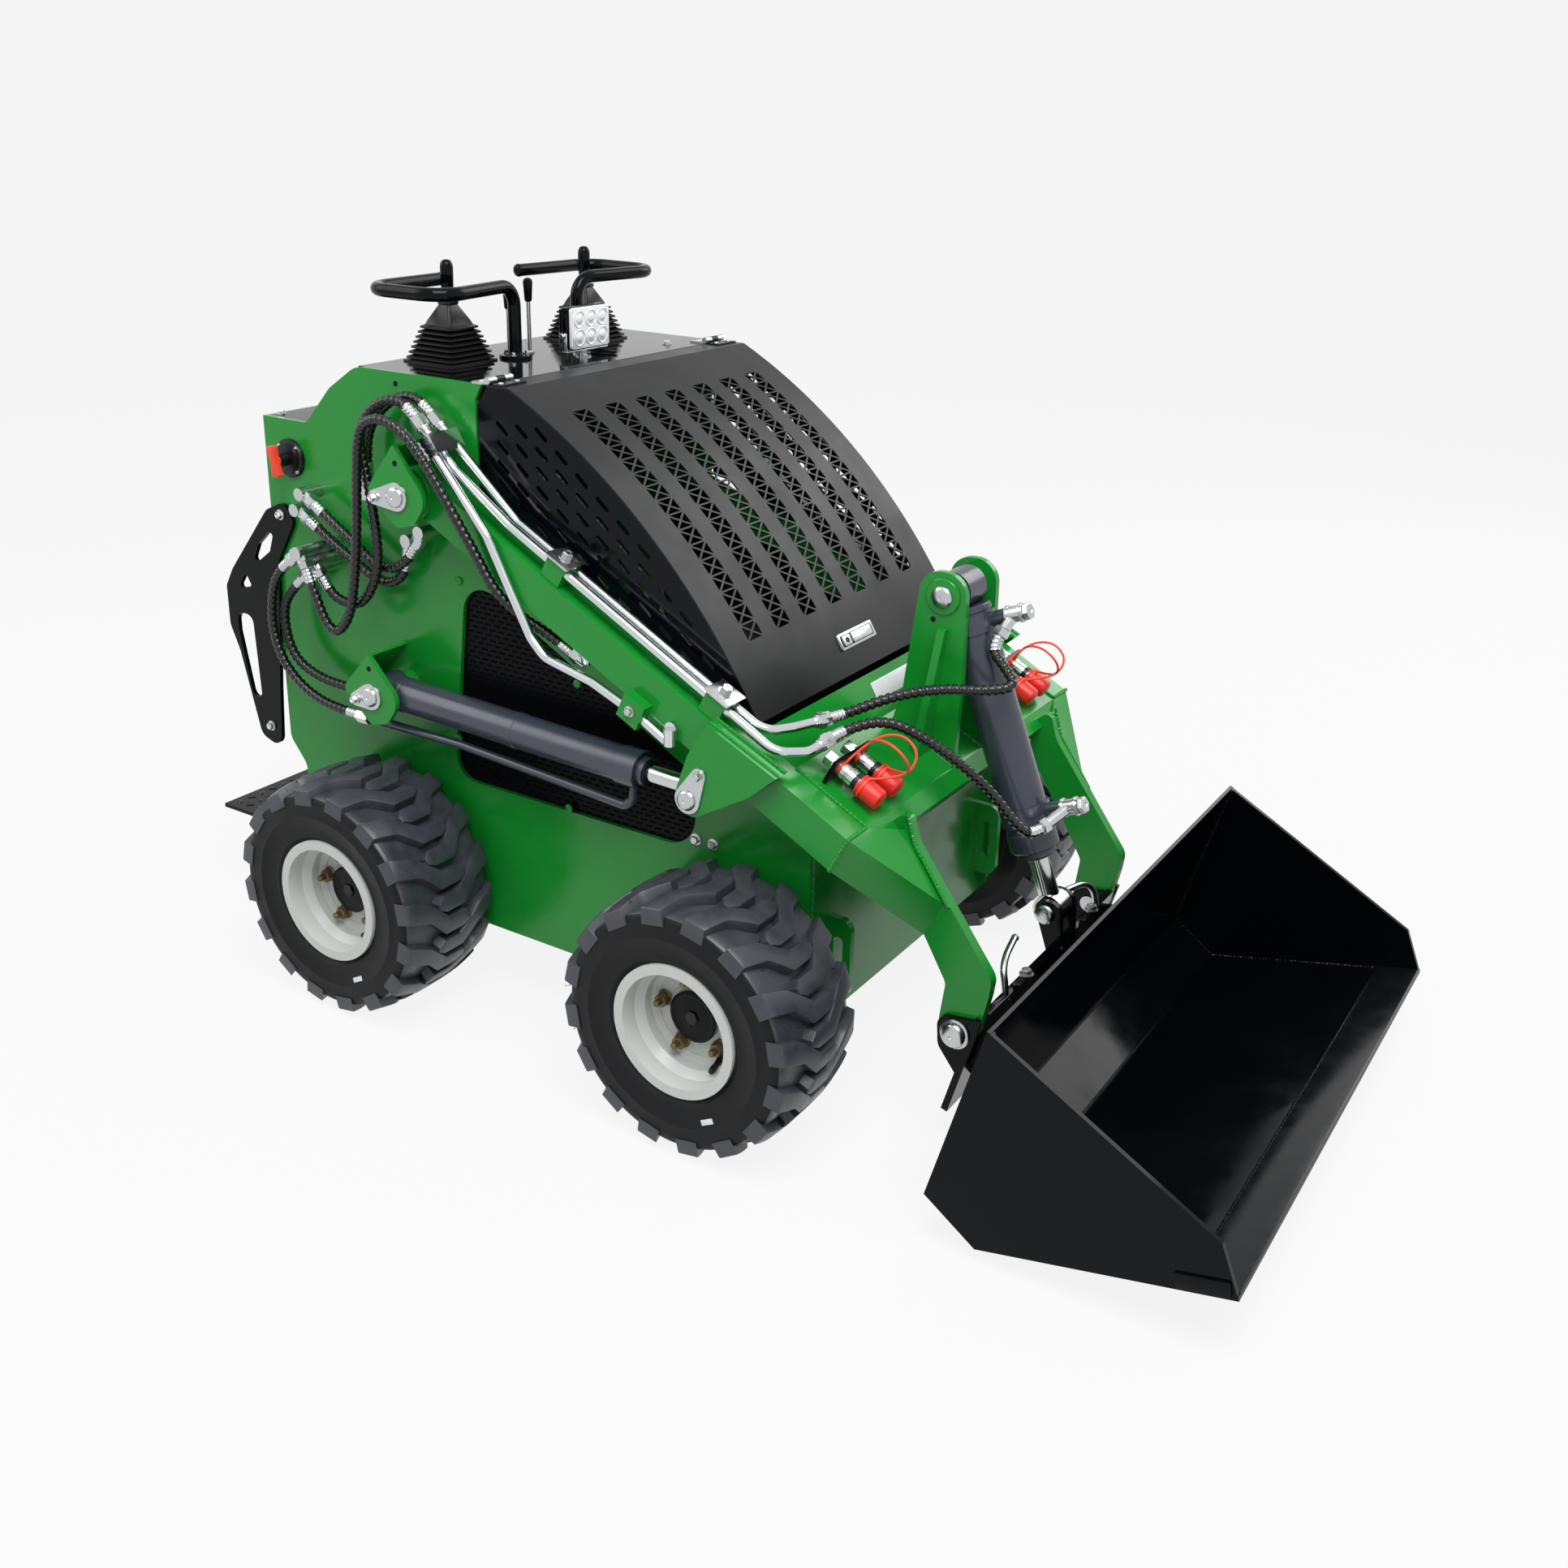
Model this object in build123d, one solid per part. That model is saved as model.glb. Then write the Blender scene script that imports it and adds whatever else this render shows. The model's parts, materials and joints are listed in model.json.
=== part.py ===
from build123d import *
import math
import os

# Compact stand-on skid steer loader: four driven wheels, two lift arms with a front tilt tower,
# a quick attach plate and a bucket.  Millimetres, +X to the front, +Y to the left, +Z up.
# Everything is laid out from the front axle (x = 0) and the floor (z = 0), and the finished
# pieces are moved along X so that the origin is at the bottom centre of the whole machine.
# A pair such as PIVOT is an (x, z) point of a side view.

# ---------------------------------------------------------------- driving dimensions
SEAT_GAP = 0.3                # between a seated piece and its seat
SHAFT_CLEAR = 0.05            # bore over shaft, on the radius

# chassis
BODY_HALF = 345.0             # outside of the side plates
SIDE_T = 8.0
BODY_REAR = -1100.0
BODY_FRONT = 112.0
BODY_BOTTOM = 140.0
HEEL_SET = 40.0               # the lowest rear edge, ahead of the rear panel
PANEL_T = 6.0
DECK_Z = 1156.0
DECK_T = 5.0
DECK_REAR = -849.0
DECK_FRONT = -548.0
SHELF_Z = DECK_Z - 116
SHELF_FRONT = DECK_REAR - 136
SILL_X = DECK_FRONT - 22      # side plate's edge behind the hood's cheek
SILL_Z = DECK_Z - 276         # side plate's top edge under the cheek's rear end
NOSE_TOP = (8.0, 665.0)
NOSE_BOTTOM_Z = 490.0
WINDOW = [(-658, 424, 45), (-115, 424, 60), (-115, 560, 30), (-610, 826, 50)]
WINDOW_LAP = 28.0
GRILLE_T = 3.0
PAD_HALF = 250.0
PAD_DEPTH = 45.0
PAD_Z = (560.0, 900.0)
ENGINE_X = (-520.0, -120.0)
ENGINE_HALF = 190.0
ENGINE_TOP = 640.0            # under the hood's front slope
PLATFORM_REAR = -1325.0
PLATFORM_Z = 197.0
PLATFORM_T = 8.0
GUARD_T = 8.0

# wheels
TYRE_R = 226.0                # to the lugs' tips
TYRE_W = 210.0
TYRE_BODY_R = 205.0           # between the lugs
TYRE_FACETS = 10
LUGS = 16                     # a side
LUG_FOOT_R = 188.0
WHEELBASE = 776.0
WHEEL_GAP = 19.0              # tyre to side plate
TRACK_HALF = BODY_HALF + WHEEL_GAP + TYRE_W / 2
RIM_R = 116.0                 # flange
RIM_SEAT_R = 104.0
RIM_WELL_R = 93.0
RIM_WALL = 5.0
RIM_LIP = 8.0                 # flange's width
RIM_SET_IN = 6.0              # flange's face, in from the tyre's side
DISC_T = 10.0
DISC_SET_IN = 70.0            # disc's outer face, in from the flange's face
HUB_R = 40.0
HUB_BORE_R = 20.0
MOTOR_R = 55.0

# hood
HOOD_T = 3.0
HOOD_GAP = 5.0
HOOD_FLAT = 48.0              # flat strip ahead of the hinges
HOOD_BULGE = 53.0             # crown of the curved top over its chord
HINGE = (DECK_FRONT + 2.5, DECK_Z + 6.5)
HINGE_R = 6.0
HINGE_PIN_R = 3.0
HINGE_LEAF = 34.0
HINGE_HALF = 30.0
HINGE_SET_IN = 34.0
LATTICE_PITCH = 85.0          # between columns, across the hood
LATTICE_W = 42.0
LATTICE_BAR = 3.2
LATTICE_CELL = 31.0
LATTICE_CELLS = 16
LATTICE_START = 83.0          # along the curve, from its top
SLOT_L = 32.0
SLOT_W = 8.0
SLOT_PITCH = (42.0, 32.5)
SLOT_ANGLE = 40.0
LATCH_AT = 646.0              # along the curve
LATCH_W = 118.0
LATCH_H = 30.0

# lift arms
PIVOT = (-667.0, 967.0)
ARM_SLOPE = math.radians(27.6)
ARM_DEPTH = 68.0
ARM_W = 55.0
ARM_GAP = 10.0                # arm to side plate
ARM_IN = BODY_HALF + ARM_GAP
ARM_OUT = ARM_IN + ARM_W
ARM_KINK_X = 216.0            # top of the seam where the arm turns inwards
ARM_KINK_Z = 558.0
FOOT_OUT = ARM_IN - 72        # outer face of the foot plate
FOOT_T = 20.0
FOOT_TIP = (322.0, 427.0)     # where the arm's top edge meets the foot plate
FOOT_PIN = (360.0, 211.0)
EAR_GAP = 20.0                # arm to the outboard ears
EAR_IN = ARM_OUT + EAR_GAP
EAR_T = 10.0
PIN_R = 15.0
PIN_END = 6.0                 # pin standing out of its plate
BEAM_REAR_X = 85.0
BEAM_FRONT_X = 235.0
BEAM_DEPTH = 58.0

# tilt tower
TOWER_IN = 50.0
TOWER_T = 12.0
TOWER_PIN = (180.0, 854.0)
TOWER_R = 41.0
RIB_T = 14.0
RIB_DEPTH = 46.0

# cylinders
LIFT_BASE = (-761.0, 587.0)
LIFT_ROD_PIN = (-61.0, 566.0)
LIFT_Y = ARM_IN + 40
LIFT_BARREL_R = 31.0
LIFT_ROD_R = 15.0
LIFT_EYE_R = 31.0
LIFT_EYE_W = 50.0
LIFT_BARREL_L = 548.0
TILT_ROD_PIN = (391.0, 322.0)
TILT_BARREL_R = 40.0
TILT_ROD_R = 18.0
TILT_EYE_R = 34.0
TILT_EYE_W = 60.0
TILT_ROD_EYE_R = 28.0
TILT_ROD_EYE_W = 40.0
TILT_BARREL_L = 430.0
COLLAR = 4.0                  # collar over the tilt barrel

# attach plate and bucket
PLATE_TOP = (404.0, 245.0)    # top of the attach plate's front face
PLATE_T = 12.0
PLATE_L = 190.0
PLATE_HALF = FOOT_OUT + 10
ATTACH_EAR_T = 8.0
BUCKET_HALF = TRACK_HALF + TYRE_W / 2 - 44
BUCKET_T = 6.0
BUCKET_SIDE_T = 8.0
BUCKET_BACK_TOP = (520.0, 393.0)
BUCKET_HEEL = (437.0, 85.0)
BUCKET_FLOOR = (525.0, 24.0)
BUCKET_SIDE_FRONT = (882.0, 194.0)
LIP = (914.0, 115.0)

# hydraulics
HOSE_R = 8.0
LINE_RISE = 30.0              # line's centre over the arm's top edge
LINE_R = 8.0
LINE_SPLIT_X = 22.0           # the lines' front ends, which turn inwards, are a piece of their own
FITTING_R = 11.0
COUPLER_R = 14.0
CAP_R = 19.0

# controls
STICK_X = -770.0
STICK_Y = 190.0
BOOT = 130.0
BOOT_H = 103.0
STICK_H = 177.0
REST_R = 12.0
REST_H = 130.0                # hand rest's centre line over the deck
LAMP = (-625.0, 8.0)          # (x, y)
LAMP_W = 112.0
LAMP_H = 78.0
LAMP_D = 42.0

SHIFT_X = -(PLATFORM_REAR + LIP[0]) / 2


# ---------------------------------------------------------------- helpers
def outline(corners):
    """Closed face in local XY through (x, y) or (x, y, radius) corners."""
    edges = []
    ends = []
    for i, corner in enumerate(corners):
        here = Vector(*corner[:2])
        before = Vector(*corners[i - 1][:2])
        after = Vector(*corners[(i + 1) % len(corners)][:2])
        if len(corner) < 3:
            ends.append((here, here))
            continue
        back = (before - here).normalized()
        on = (after - here).normalized()
        half = math.radians(back.get_angle(on)) / 2
        room = 0.48 * min((before - here).length, (after - here).length)
        run = min(corner[2] / math.tan(half), room)
        radius = run * math.tan(half)
        start = here + back * run
        end = here + on * run
        centre = here + (back + on).normalized() * (radius / math.sin(half))
        middle = centre + (here - centre).normalized() * radius
        edges.append(ThreePointArc(start, middle, end))
        ends.append((start, end))
    for i, (_, start) in enumerate(ends):
        end = ends[(i + 1) % len(ends)][0]
        if (end - start).length > 1e-6:
            edges.append(Line(start, end))
    return make_face(Wire.combine([e.edge() for e in edges])[0].edges())


def side_view(y):
    """Plane of a side view: local X is +X, local Y is +Z, and it extrudes towards -Y."""
    return Plane(origin=(0, y, 0), x_dir=(1, 0, 0), z_dir=(0, -1, 0))


def slab(corners, y_low, y_high):
    """Plate with a side outline of (x, z[, radius]) corners between two Y planes."""
    return extrude(side_view(y_high) * outline(corners), y_high - y_low)


def bar(start, end, radius):
    """Round bar between two points."""
    a = Vector(*start)
    b = Vector(*end)
    return extrude(Plane(origin=a, z_dir=b - a) * Circle(radius), (b - a).length)


def across(xz, y_low, y_high, radius):
    """Round bar along Y."""
    return bar((xz[0], y_low, xz[1]), (xz[0], y_high, xz[1]), radius)


def block(x_low, x_high, y_low, y_high, z_low, z_high):
    size = (x_high - x_low, y_high - y_low, z_high - z_low)
    return Pos(x_low, y_low, z_low) * Box(*size, align=(Align.MIN, Align.MIN, Align.MIN))


def tube_along(points, radius, bends):
    """Round bar on straight runs joined by tangent arcs."""
    path = FilletPolyline(*points, radius=bends)
    start = Plane(origin=path @ 0, z_dir=path % 0)
    return sweep(start * Circle(radius), path)


def soft_bends(points):
    """Arc radii that spread each turn over 0.45 of its shorter run."""
    radii = []
    for before, here, after in zip(points, points[1:], points[2:]):
        a = Vector(*here) - Vector(*before)
        b = Vector(*after) - Vector(*here)
        turn = math.radians(a.get_angle(b))
        radii.append(0.45 * min(a.length, b.length) / math.tan(turn / 2))
    return radii


def hose(points):
    return tube_along(points, HOSE_R, soft_bends(points))


def left_of(shape):
    return mirror(shape, about=Plane.XZ)


def both_sides(shape):
    """A right-hand (-Y) piece and its mirror image on the left."""
    return shape + left_of(shape)


def along(start, end, distance):
    """The (x, z) point at a distance from start towards end."""
    a = Vector(*start)
    b = Vector(*end)
    p = a + (b - a).normalized() * distance
    return (p.X, p.Y)


def offset_line(start, end, distance):
    """Both ends of a line moved sideways, to the left of its direction."""
    a = Vector(*start)
    b = Vector(*end)
    d = (b - a).normalized()
    side = Vector(-d.Y, d.X) * distance
    return ((a + side).X, (a + side).Y), ((b + side).X, (b + side).Y)


def meet(a, b, c, d):
    """Crossing of line a-b with line c-d."""
    a, b, c, d = Vector(*a), Vector(*b), Vector(*c), Vector(*d)
    r = b - a
    s = d - c
    t = ((c - a).X * s.Y - (c - a).Y * s.X) / (r.X * s.Y - r.Y * s.X)
    p = a + r * t
    return (p.X, p.Y)


def inside(corners, point, margin):
    """Whether a point lies in a counter-clockwise convex outline, clear of its edges."""
    for i, end in enumerate(corners):
        (x0, y0), (x1, y1) = corners[i - 1][:2], end[:2]
        cross = (x1 - x0) * (point[1] - y0) - (y1 - y0) * (point[0] - x0)
        if cross < margin * math.dist((x0, y0), (x1, y1)):
            return False
    return True


PIECES = {}


def keep(node, shape):
    PIECES[node] = shape


def arm_top(x):
    """Height of a lift arm's top edge."""
    return ARM_KINK_Z + (ARM_KINK_X - x) * math.tan(ARM_SLOPE)


# ---------------------------------------------------------------- chassis
INNER = BODY_HALF - SIDE_T
side_outline = [
    (BODY_REAR + HEEL_SET, BODY_BOTTOM), (BODY_REAR + HEEL_SET, 350, 30), (BODY_REAR, 400, 30),
    (BODY_REAR, SHELF_Z), (SHELF_FRONT, SHELF_Z, 20), (DECK_REAR - 70, DECK_Z - 46, 60),
    (DECK_REAR, DECK_Z, 60),
    (SILL_X + 15, DECK_Z), (SILL_X, DECK_Z - 28), (SILL_X, SILL_Z),
    NOSE_TOP, (BODY_FRONT, NOSE_BOTTOM_Z), (BODY_FRONT, BODY_BOTTOM, 20),
]
side_plate = slab(side_outline, -BODY_HALF, -INNER) - slab(WINDOW, -BODY_HALF - 1, -INNER + 1)


def bracket(pin, apex_dz):
    """Outboard ear and its cross web, carried by the side plate."""
    px, pz = pin
    ear = slab([(px - 5, pz + apex_dz), (px - 72, pz + 3, 12), (px - 6, pz - 56, 20), (px + 35, pz - 45, 25),
                (px + 68, pz, 45)], -EAR_IN - EAR_T, -EAR_IN)
    web = slab([(px - 5, pz + apex_dz), (px - 72, pz + 3), (px - 68, pz), (px - 1, pz + apex_dz - 3)],
               -EAR_IN, -BODY_HALF)
    return ear + web


arm_boss = across(PIVOT, -ARM_IN + SEAT_GAP, -BODY_HALF, 38)
lift_boss = across(LIFT_BASE, -LIFT_Y + LIFT_EYE_W / 2 + SEAT_GAP, -BODY_HALF, 24)
right_side = side_plate + bracket(PIVOT, 88) + bracket(LIFT_BASE, 78) + arm_boss + lift_boss
for pin in (PIVOT, LIFT_BASE):
    right_side -= across(pin, -EAR_IN - EAR_T - 1, -INNER + 1, PIN_R + SHAFT_CLEAR)
keep("side_plate_right", right_side)
keep("side_plate_left", left_of(right_side))

BELLY_TOP = BODY_BOTTOM + 10 + PANEL_T
keep("belly_pan", block(BODY_REAR + 60, BODY_FRONT - PANEL_T, -INNER, INNER, BELLY_TOP - PANEL_T, BELLY_TOP))
front = block(BODY_FRONT - PANEL_T, BODY_FRONT, -INNER, INNER, BELLY_TOP - PANEL_T, NOSE_BOTTOM_Z)
low, high = offset_line((BODY_FRONT, NOSE_BOTTOM_Z), NOSE_TOP, PANEL_T)
keep("front_panel", front + slab([(BODY_FRONT, NOSE_BOTTOM_Z), NOSE_TOP, high, low], -INNER, INNER))
keep("rear_panel", block(BODY_REAR, BODY_REAR + PANEL_T, -INNER, INNER, 400, SHELF_Z))
dash_top = (DECK_REAR, DECK_Z - DECK_T)
keep("dash_panel", slab([
    (BODY_REAR, SHELF_Z), (SHELF_FRONT, SHELF_Z), dash_top, (dash_top[0] + 4, dash_top[1] - 8),
    (SHELF_FRONT + 2, SHELF_Z - PANEL_T), (BODY_REAR + PANEL_T, SHELF_Z - PANEL_T),
    (BODY_REAR + PANEL_T, SHELF_Z),
], -INNER, INNER))
keep("deck", block(DECK_REAR, DECK_FRONT, -INNER, INNER, DECK_Z - DECK_T, DECK_Z))
keep("thigh_pad", block(BODY_REAR - PAD_DEPTH, BODY_REAR, -PAD_HALF, PAD_HALF, *PAD_Z))
keep("engine", block(*ENGINE_X, -ENGINE_HALF, ENGINE_HALF, BELLY_TOP, ENGINE_TOP))
keep("platform", block(PLATFORM_REAR, BODY_REAR + HEEL_SET, -BODY_HALF, BODY_HALF, PLATFORM_Z - PLATFORM_T,
                       PLATFORM_Z))

GUARD = [
    (-1057, 883, 18), (-1105, 862, 30), (-1218, 727, 20), (-1240, 690, 15), (-1240, 610, 30),
    (-1218, 560, 20),
    (-1175, 390, 25), (-1120, 372, 25), (-1110, 500, 30), (-1082, 766, 40), (-1030, 850, 20),
]
GUARD_HOLES = [
    [(-1085, 835, 8), (-1135, 790, 8), (-1160, 740, 8), (-1105, 780, 8)],
    [(-1165, 700, 5), (-1205, 690, 5), (-1180, 725, 5)],
    [(-1215, 640, 18), (-1215, 600, 18), (-1190, 470, 16), (-1165, 470, 16), (-1172, 640, 18)],
]
guard = slab(GUARD, -BODY_HALF - GUARD_T, -BODY_HALF)
for hole in GUARD_HOLES:
    guard -= slab(hole, -BODY_HALF - GUARD_T - 1, -BODY_HALF + 1)
keep("rear_guards", both_sides(guard))

# the window panels lap over the windows' edges from inside
w_left = WINDOW[0][0] - WINDOW_LAP
w_right = WINDOW[2][0] + WINDOW_LAP
w_low = WINDOW[0][1] - WINDOW_LAP
w_top = WINDOW[3][1] + WINDOW_LAP
panel = [(w_left, w_low), (w_right, w_low), (w_right, WINDOW[2][1] + WINDOW_LAP), (WINDOW[3][0], w_top),
         (w_left, w_top)]
keep("side_grilles", both_sides(slab(panel, -INNER, -INNER + GRILLE_T)))

loop = slab([(BODY_FRONT, 200), (BODY_FRONT + 45, 200, 22), (BODY_FRONT + 45, 345, 22), (BODY_FRONT, 345)],
            -285, -273)
LOOP_HOLE = [(12, 235, 8), (30, 235, 8), (30, 310, 8), (12, 310, 8)]
loop -= slab([(BODY_FRONT + x, z, r) for x, z, r in LOOP_HOLE], -286, -272)
keep("tie_down_loops", both_sides(loop))

SWITCH = (-1032.0, 969.0)
switch = (across(SWITCH, -BODY_HALF - 14, -BODY_HALF, 36)
          + across(SWITCH, -BODY_HALF - 34, -BODY_HALF - 14, 12))
switch += block(SWITCH[0] - 26, SWITCH[0] + 26, -BODY_HALF - 46, -BODY_HALF - 34, SWITCH[1] - 8,
                SWITCH[1] + 8)
keep("battery_switch", switch)


# ---------------------------------------------------------------- wheels
def ring(profile):
    """Solid of revolution about the Y axis through (radius, y) points."""
    return revolve(make_face(Polyline(*[(r, y, 0) for r, y in profile], close=True)), Axis.Y)


def facet(points):
    return Face(Wire.make_polygon(points, close=True))


def round_y(radius, angle, y):
    return Vector(radius * math.cos(angle), y, radius * math.sin(angle))


def faceted_ring(profile, facets):
    """Ring about the Y axis with flat facets, through (radius, y) points."""
    turn = 2 * math.pi / facets
    faces = []
    for i in range(facets):
        for (r0, y0), (r1, y1) in zip(profile, profile[1:] + profile[:1]):
            faces.append(facet([round_y(r0, turn * i, y0), round_y(r1, turn * i, y1),
                                round_y(r1, turn * (i + 1), y1), round_y(r0, turn * (i + 1), y0)]))
    return Solid(Shell(faces))


# a lug's sections from the shoulder to past the middle: y, angle and half width in degrees, top and
# foot radius
LUG = [(-104, 13.3, 3.9, 215, LUG_FOOT_R), (-18, 0, 3.9, TYRE_R, 192), (34, 0, 3.9, TYRE_R, 192)]


def lug(side, turn):
    """One tread bar; where it twists, its sides are split into flat triangles."""
    sections = []
    for y, angle, half, top_r, foot_r in LUG:
        low_a = math.radians(angle + turn - half)
        high_a = math.radians(angle + turn + half)
        y *= TYRE_W / 210 * side
        sections.append([round_y(top_r, low_a, y), round_y(top_r, high_a, y),
                         round_y(foot_r, high_a, y), round_y(foot_r, low_a, y)])
    faces = [facet(sections[0]), facet(sections[-1])]
    for row, next_row, here, there in zip(LUG, LUG[1:], sections, sections[1:]):
        for j in range(4):
            k = (j + 1) % 4
            side_face = [here[j], here[k], there[k], there[j]]
            if row[1:] == next_row[1:]:
                faces.append(facet(side_face))
            else:
                faces += [facet(side_face[:3]), facet([side_face[0], side_face[2], side_face[3]])]
    return Solid(Shell(faces))


half_w = TYRE_W / 2
seat_y = half_w - RIM_SET_IN - RIM_LIP
facet_clear = 1 / math.cos(math.pi / TYRE_FACETS)
bore_r = RIM_SEAT_R * facet_clear + SEAT_GAP
carcass = faceted_ring([
    (bore_r, -seat_y), (RIM_R * facet_clear + 2, -seat_y), (172, -half_w), (TYRE_BODY_R, -half_w + 7),
    (TYRE_BODY_R, half_w - 7), (172, half_w), (RIM_R * facet_clear + 2, seat_y), (bore_r, seat_y),
], TYRE_FACETS)
pitch = 360 / LUGS
grounded = -90 - LUG[1][2]      # puts a lug's corner at the very bottom
lugs = ([lug(1, grounded + pitch * i) for i in range(LUGS)]
        + [lug(-1, grounded + pitch * (i + 0.5)) for i in range(LUGS)])
right_tyre = carcass.fuse(*lugs)

edge = half_w - RIM_SET_IN
seat = RIM_SEAT_R
rim_out = [(RIM_R, -edge), (RIM_R, -edge + RIM_LIP - SEAT_GAP), (seat, -edge + RIM_LIP - SEAT_GAP),
           (seat, -edge + 30), (RIM_WELL_R, -edge + 44)]
rim_in = [(RIM_WELL_R - RIM_WALL, -edge + 46), (seat - RIM_WALL, -edge + 32), (seat - RIM_WALL, -edge)]
mirrored = lambda points: [(r, -y) for r, y in reversed(points)]
right_rim = ring(rim_out + mirrored(rim_out) + mirrored(rim_in) + rim_in)
disc_y = -edge + DISC_SET_IN
disc_r = RIM_WELL_R - RIM_WALL / 2
right_rim += ring([(HUB_BORE_R + SHAFT_CLEAR, disc_y), (disc_r, disc_y), (disc_r, disc_y + DISC_T),
                   (HUB_BORE_R + SHAFT_CLEAR, disc_y + DISC_T)])

hubs = None
for name, x in (("front", 0.0), ("rear", -WHEELBASE)):
    place = Pos(x, -TRACK_HALF, TYRE_R)
    for side, turn in (("right", lambda s: s), ("left", left_of)):
        keep("tyre_" + name + "_" + side, turn(place * right_tyre))
        keep("rim_" + name + "_" + side, turn(place * right_rim))
    disc_in = TRACK_HALF - disc_y - DISC_T
    hub = across((x, TYRE_R), -disc_in + 0.5, -BODY_HALF, MOTOR_R)
    hub += across((x, TYRE_R), -disc_in - DISC_T - 12, -disc_in + 0.5, HUB_BORE_R)
    hub += across((x, TYRE_R), -disc_in - DISC_T - 12, -disc_in - DISC_T - 0.5, HUB_R)
    hubs = hub if hubs is None else hubs + hub
keep("axle_hubs", both_sides(hubs))

# ---------------------------------------------------------------- lift arms
lean = (math.sin(ARM_SLOPE), math.cos(ARM_SLOPE))
seam_bottom = (ARM_KINK_X - ARM_DEPTH * lean[0], ARM_KINK_Z - ARM_DEPTH * lean[1])
rise = (arm_top(PIVOT[0]) - PIVOT[1]) * lean[1]
rear_top = (PIVOT[0] + rise * lean[0], PIVOT[1] + rise * lean[1])
rear_bottom = (rear_top[0] - ARM_DEPTH * lean[0], rear_top[1] - ARM_DEPTH * lean[1])
tube = slab([rear_top, (ARM_KINK_X, ARM_KINK_Z), seam_bottom, rear_bottom], -ARM_OUT, -ARM_IN)
tube += across(PIVOT, -ARM_OUT, -ARM_IN, 45)
tube += across(PIVOT, -EAR_IN + SEAT_GAP, -ARM_OUT, 38)
seam = [(ARM_KINK_X, -ARM_OUT, ARM_KINK_Z), (ARM_KINK_X, -ARM_IN, ARM_KINK_Z),
        (seam_bottom[0], -ARM_IN, seam_bottom[1]), (seam_bottom[0], -ARM_OUT, seam_bottom[1])]
toe = [(FOOT_TIP[0] + x, -FOOT_OUT, FOOT_TIP[1] + z) for x, z in ((0, 0), (-75, 110), (-108, 47), (-33, -63))]
kink = loft([make_face(Polyline(*seam, close=True)), make_face(Polyline(*toe, close=True))], ruled=True)
FOOT = [
    (250, 568, 12), (265, 516, 60), (413, 318, 28), (409, 285), (FOOT_PIN[0] + 34, FOOT_PIN[1], 30),
    (FOOT_PIN[0] + 10, FOOT_PIN[1] - 32, 20), (FOOT_PIN[0] - 30, FOOT_PIN[1] - 10, 20), (325, 224),
    (333, 290, 20), (293, 358), (214, 480), (216, 540),
]
foot = slab(FOOT, -FOOT_OUT, -FOOT_OUT + FOOT_T)
rod_plate = slab([(-27, 701, 5), (-63, 642), (-90, 566, 30), (-61, 530, 30), (52, 597), (102, 641)],
                 -EAR_IN - EAR_T, -EAR_IN)
rod_web = slab([(-27, 701), (102, 641), (52, 627), (-27, 660)], -EAR_IN, -ARM_OUT)
arm = tube + kink + foot + rod_plate + rod_web
arm -= across(PIVOT, -EAR_IN, -ARM_IN + 1, PIN_R + SHAFT_CLEAR)
arm -= across(FOOT_PIN, -FOOT_OUT - 1, -FOOT_OUT + FOOT_T + 1, PIN_R + SHAFT_CLEAR)
arm -= across(LIFT_ROD_PIN, -EAR_IN - EAR_T - 1, -EAR_IN + 1, PIN_R + SHAFT_CLEAR)
keep("lift_arm_right", arm)
keep("lift_arm_left", left_of(arm))

beam = slab([(BEAM_REAR_X, arm_top(BEAM_REAR_X)), (ARM_KINK_X, ARM_KINK_Z), (BEAM_FRONT_X, ARM_KINK_Z - 25),
             (BEAM_FRONT_X - 25, ARM_KINK_Z - BEAM_DEPTH),
             (BEAM_REAR_X + 5, arm_top(BEAM_REAR_X) - BEAM_DEPTH)], -ARM_IN, ARM_IN)
keep("cross_beam", beam - arm - left_of(arm))

tx, tz = TOWER_PIN
tower_out = TOWER_IN + TOWER_T
tower = slab([(tx - TOWER_R, tz + TOWER_R, TOWER_R - 1), (tx + TOWER_R, tz + TOWER_R, TOWER_R - 1),
              (tx + 43, tz - 140),
              (ARM_KINK_X, arm_top(ARM_KINK_X)), (tx - 84, arm_top(tx - 84)), (tx - 68, tz - 179)],
              -tower_out, -TOWER_IN)
tower -= across(TOWER_PIN, -tower_out - 1, -TOWER_IN + 1, PIN_R + SHAFT_CLEAR)
rib_foot = tx - 22
rib = slab([(tx - 2, tz - 54), (tx - 2 + RIB_T, tz - 54), (rib_foot + RIB_T, arm_top(rib_foot + RIB_T)),
            (rib_foot, arm_top(rib_foot))], -tower_out - RIB_DEPTH, -tower_out)
rib_trim = (Pos(tx, -tower_out - 12, tz - 54) * Rot(-9.5, 0, 0)
            * Box(200, 200, 900, align=(Align.CENTER, Align.MAX, Align.CENTER)))
keep("tilt_tower", both_sides(tower + (rib - rib_trim)))

pin_out = EAR_IN + EAR_T + PIN_END
chassis_pins = (across(PIVOT, -pin_out, -INNER + PIN_END, PIN_R)
                + across(LIFT_BASE, -pin_out, -INNER + PIN_END, PIN_R))
keep("chassis_pins", both_sides(chassis_pins))
tower_pin = across(TOWER_PIN, -tower_out - PIN_END, tower_out + PIN_END, PIN_R)
keep("arm_pins", tower_pin + both_sides(across(LIFT_ROD_PIN, -pin_out, -EAR_IN, PIN_R)))


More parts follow.
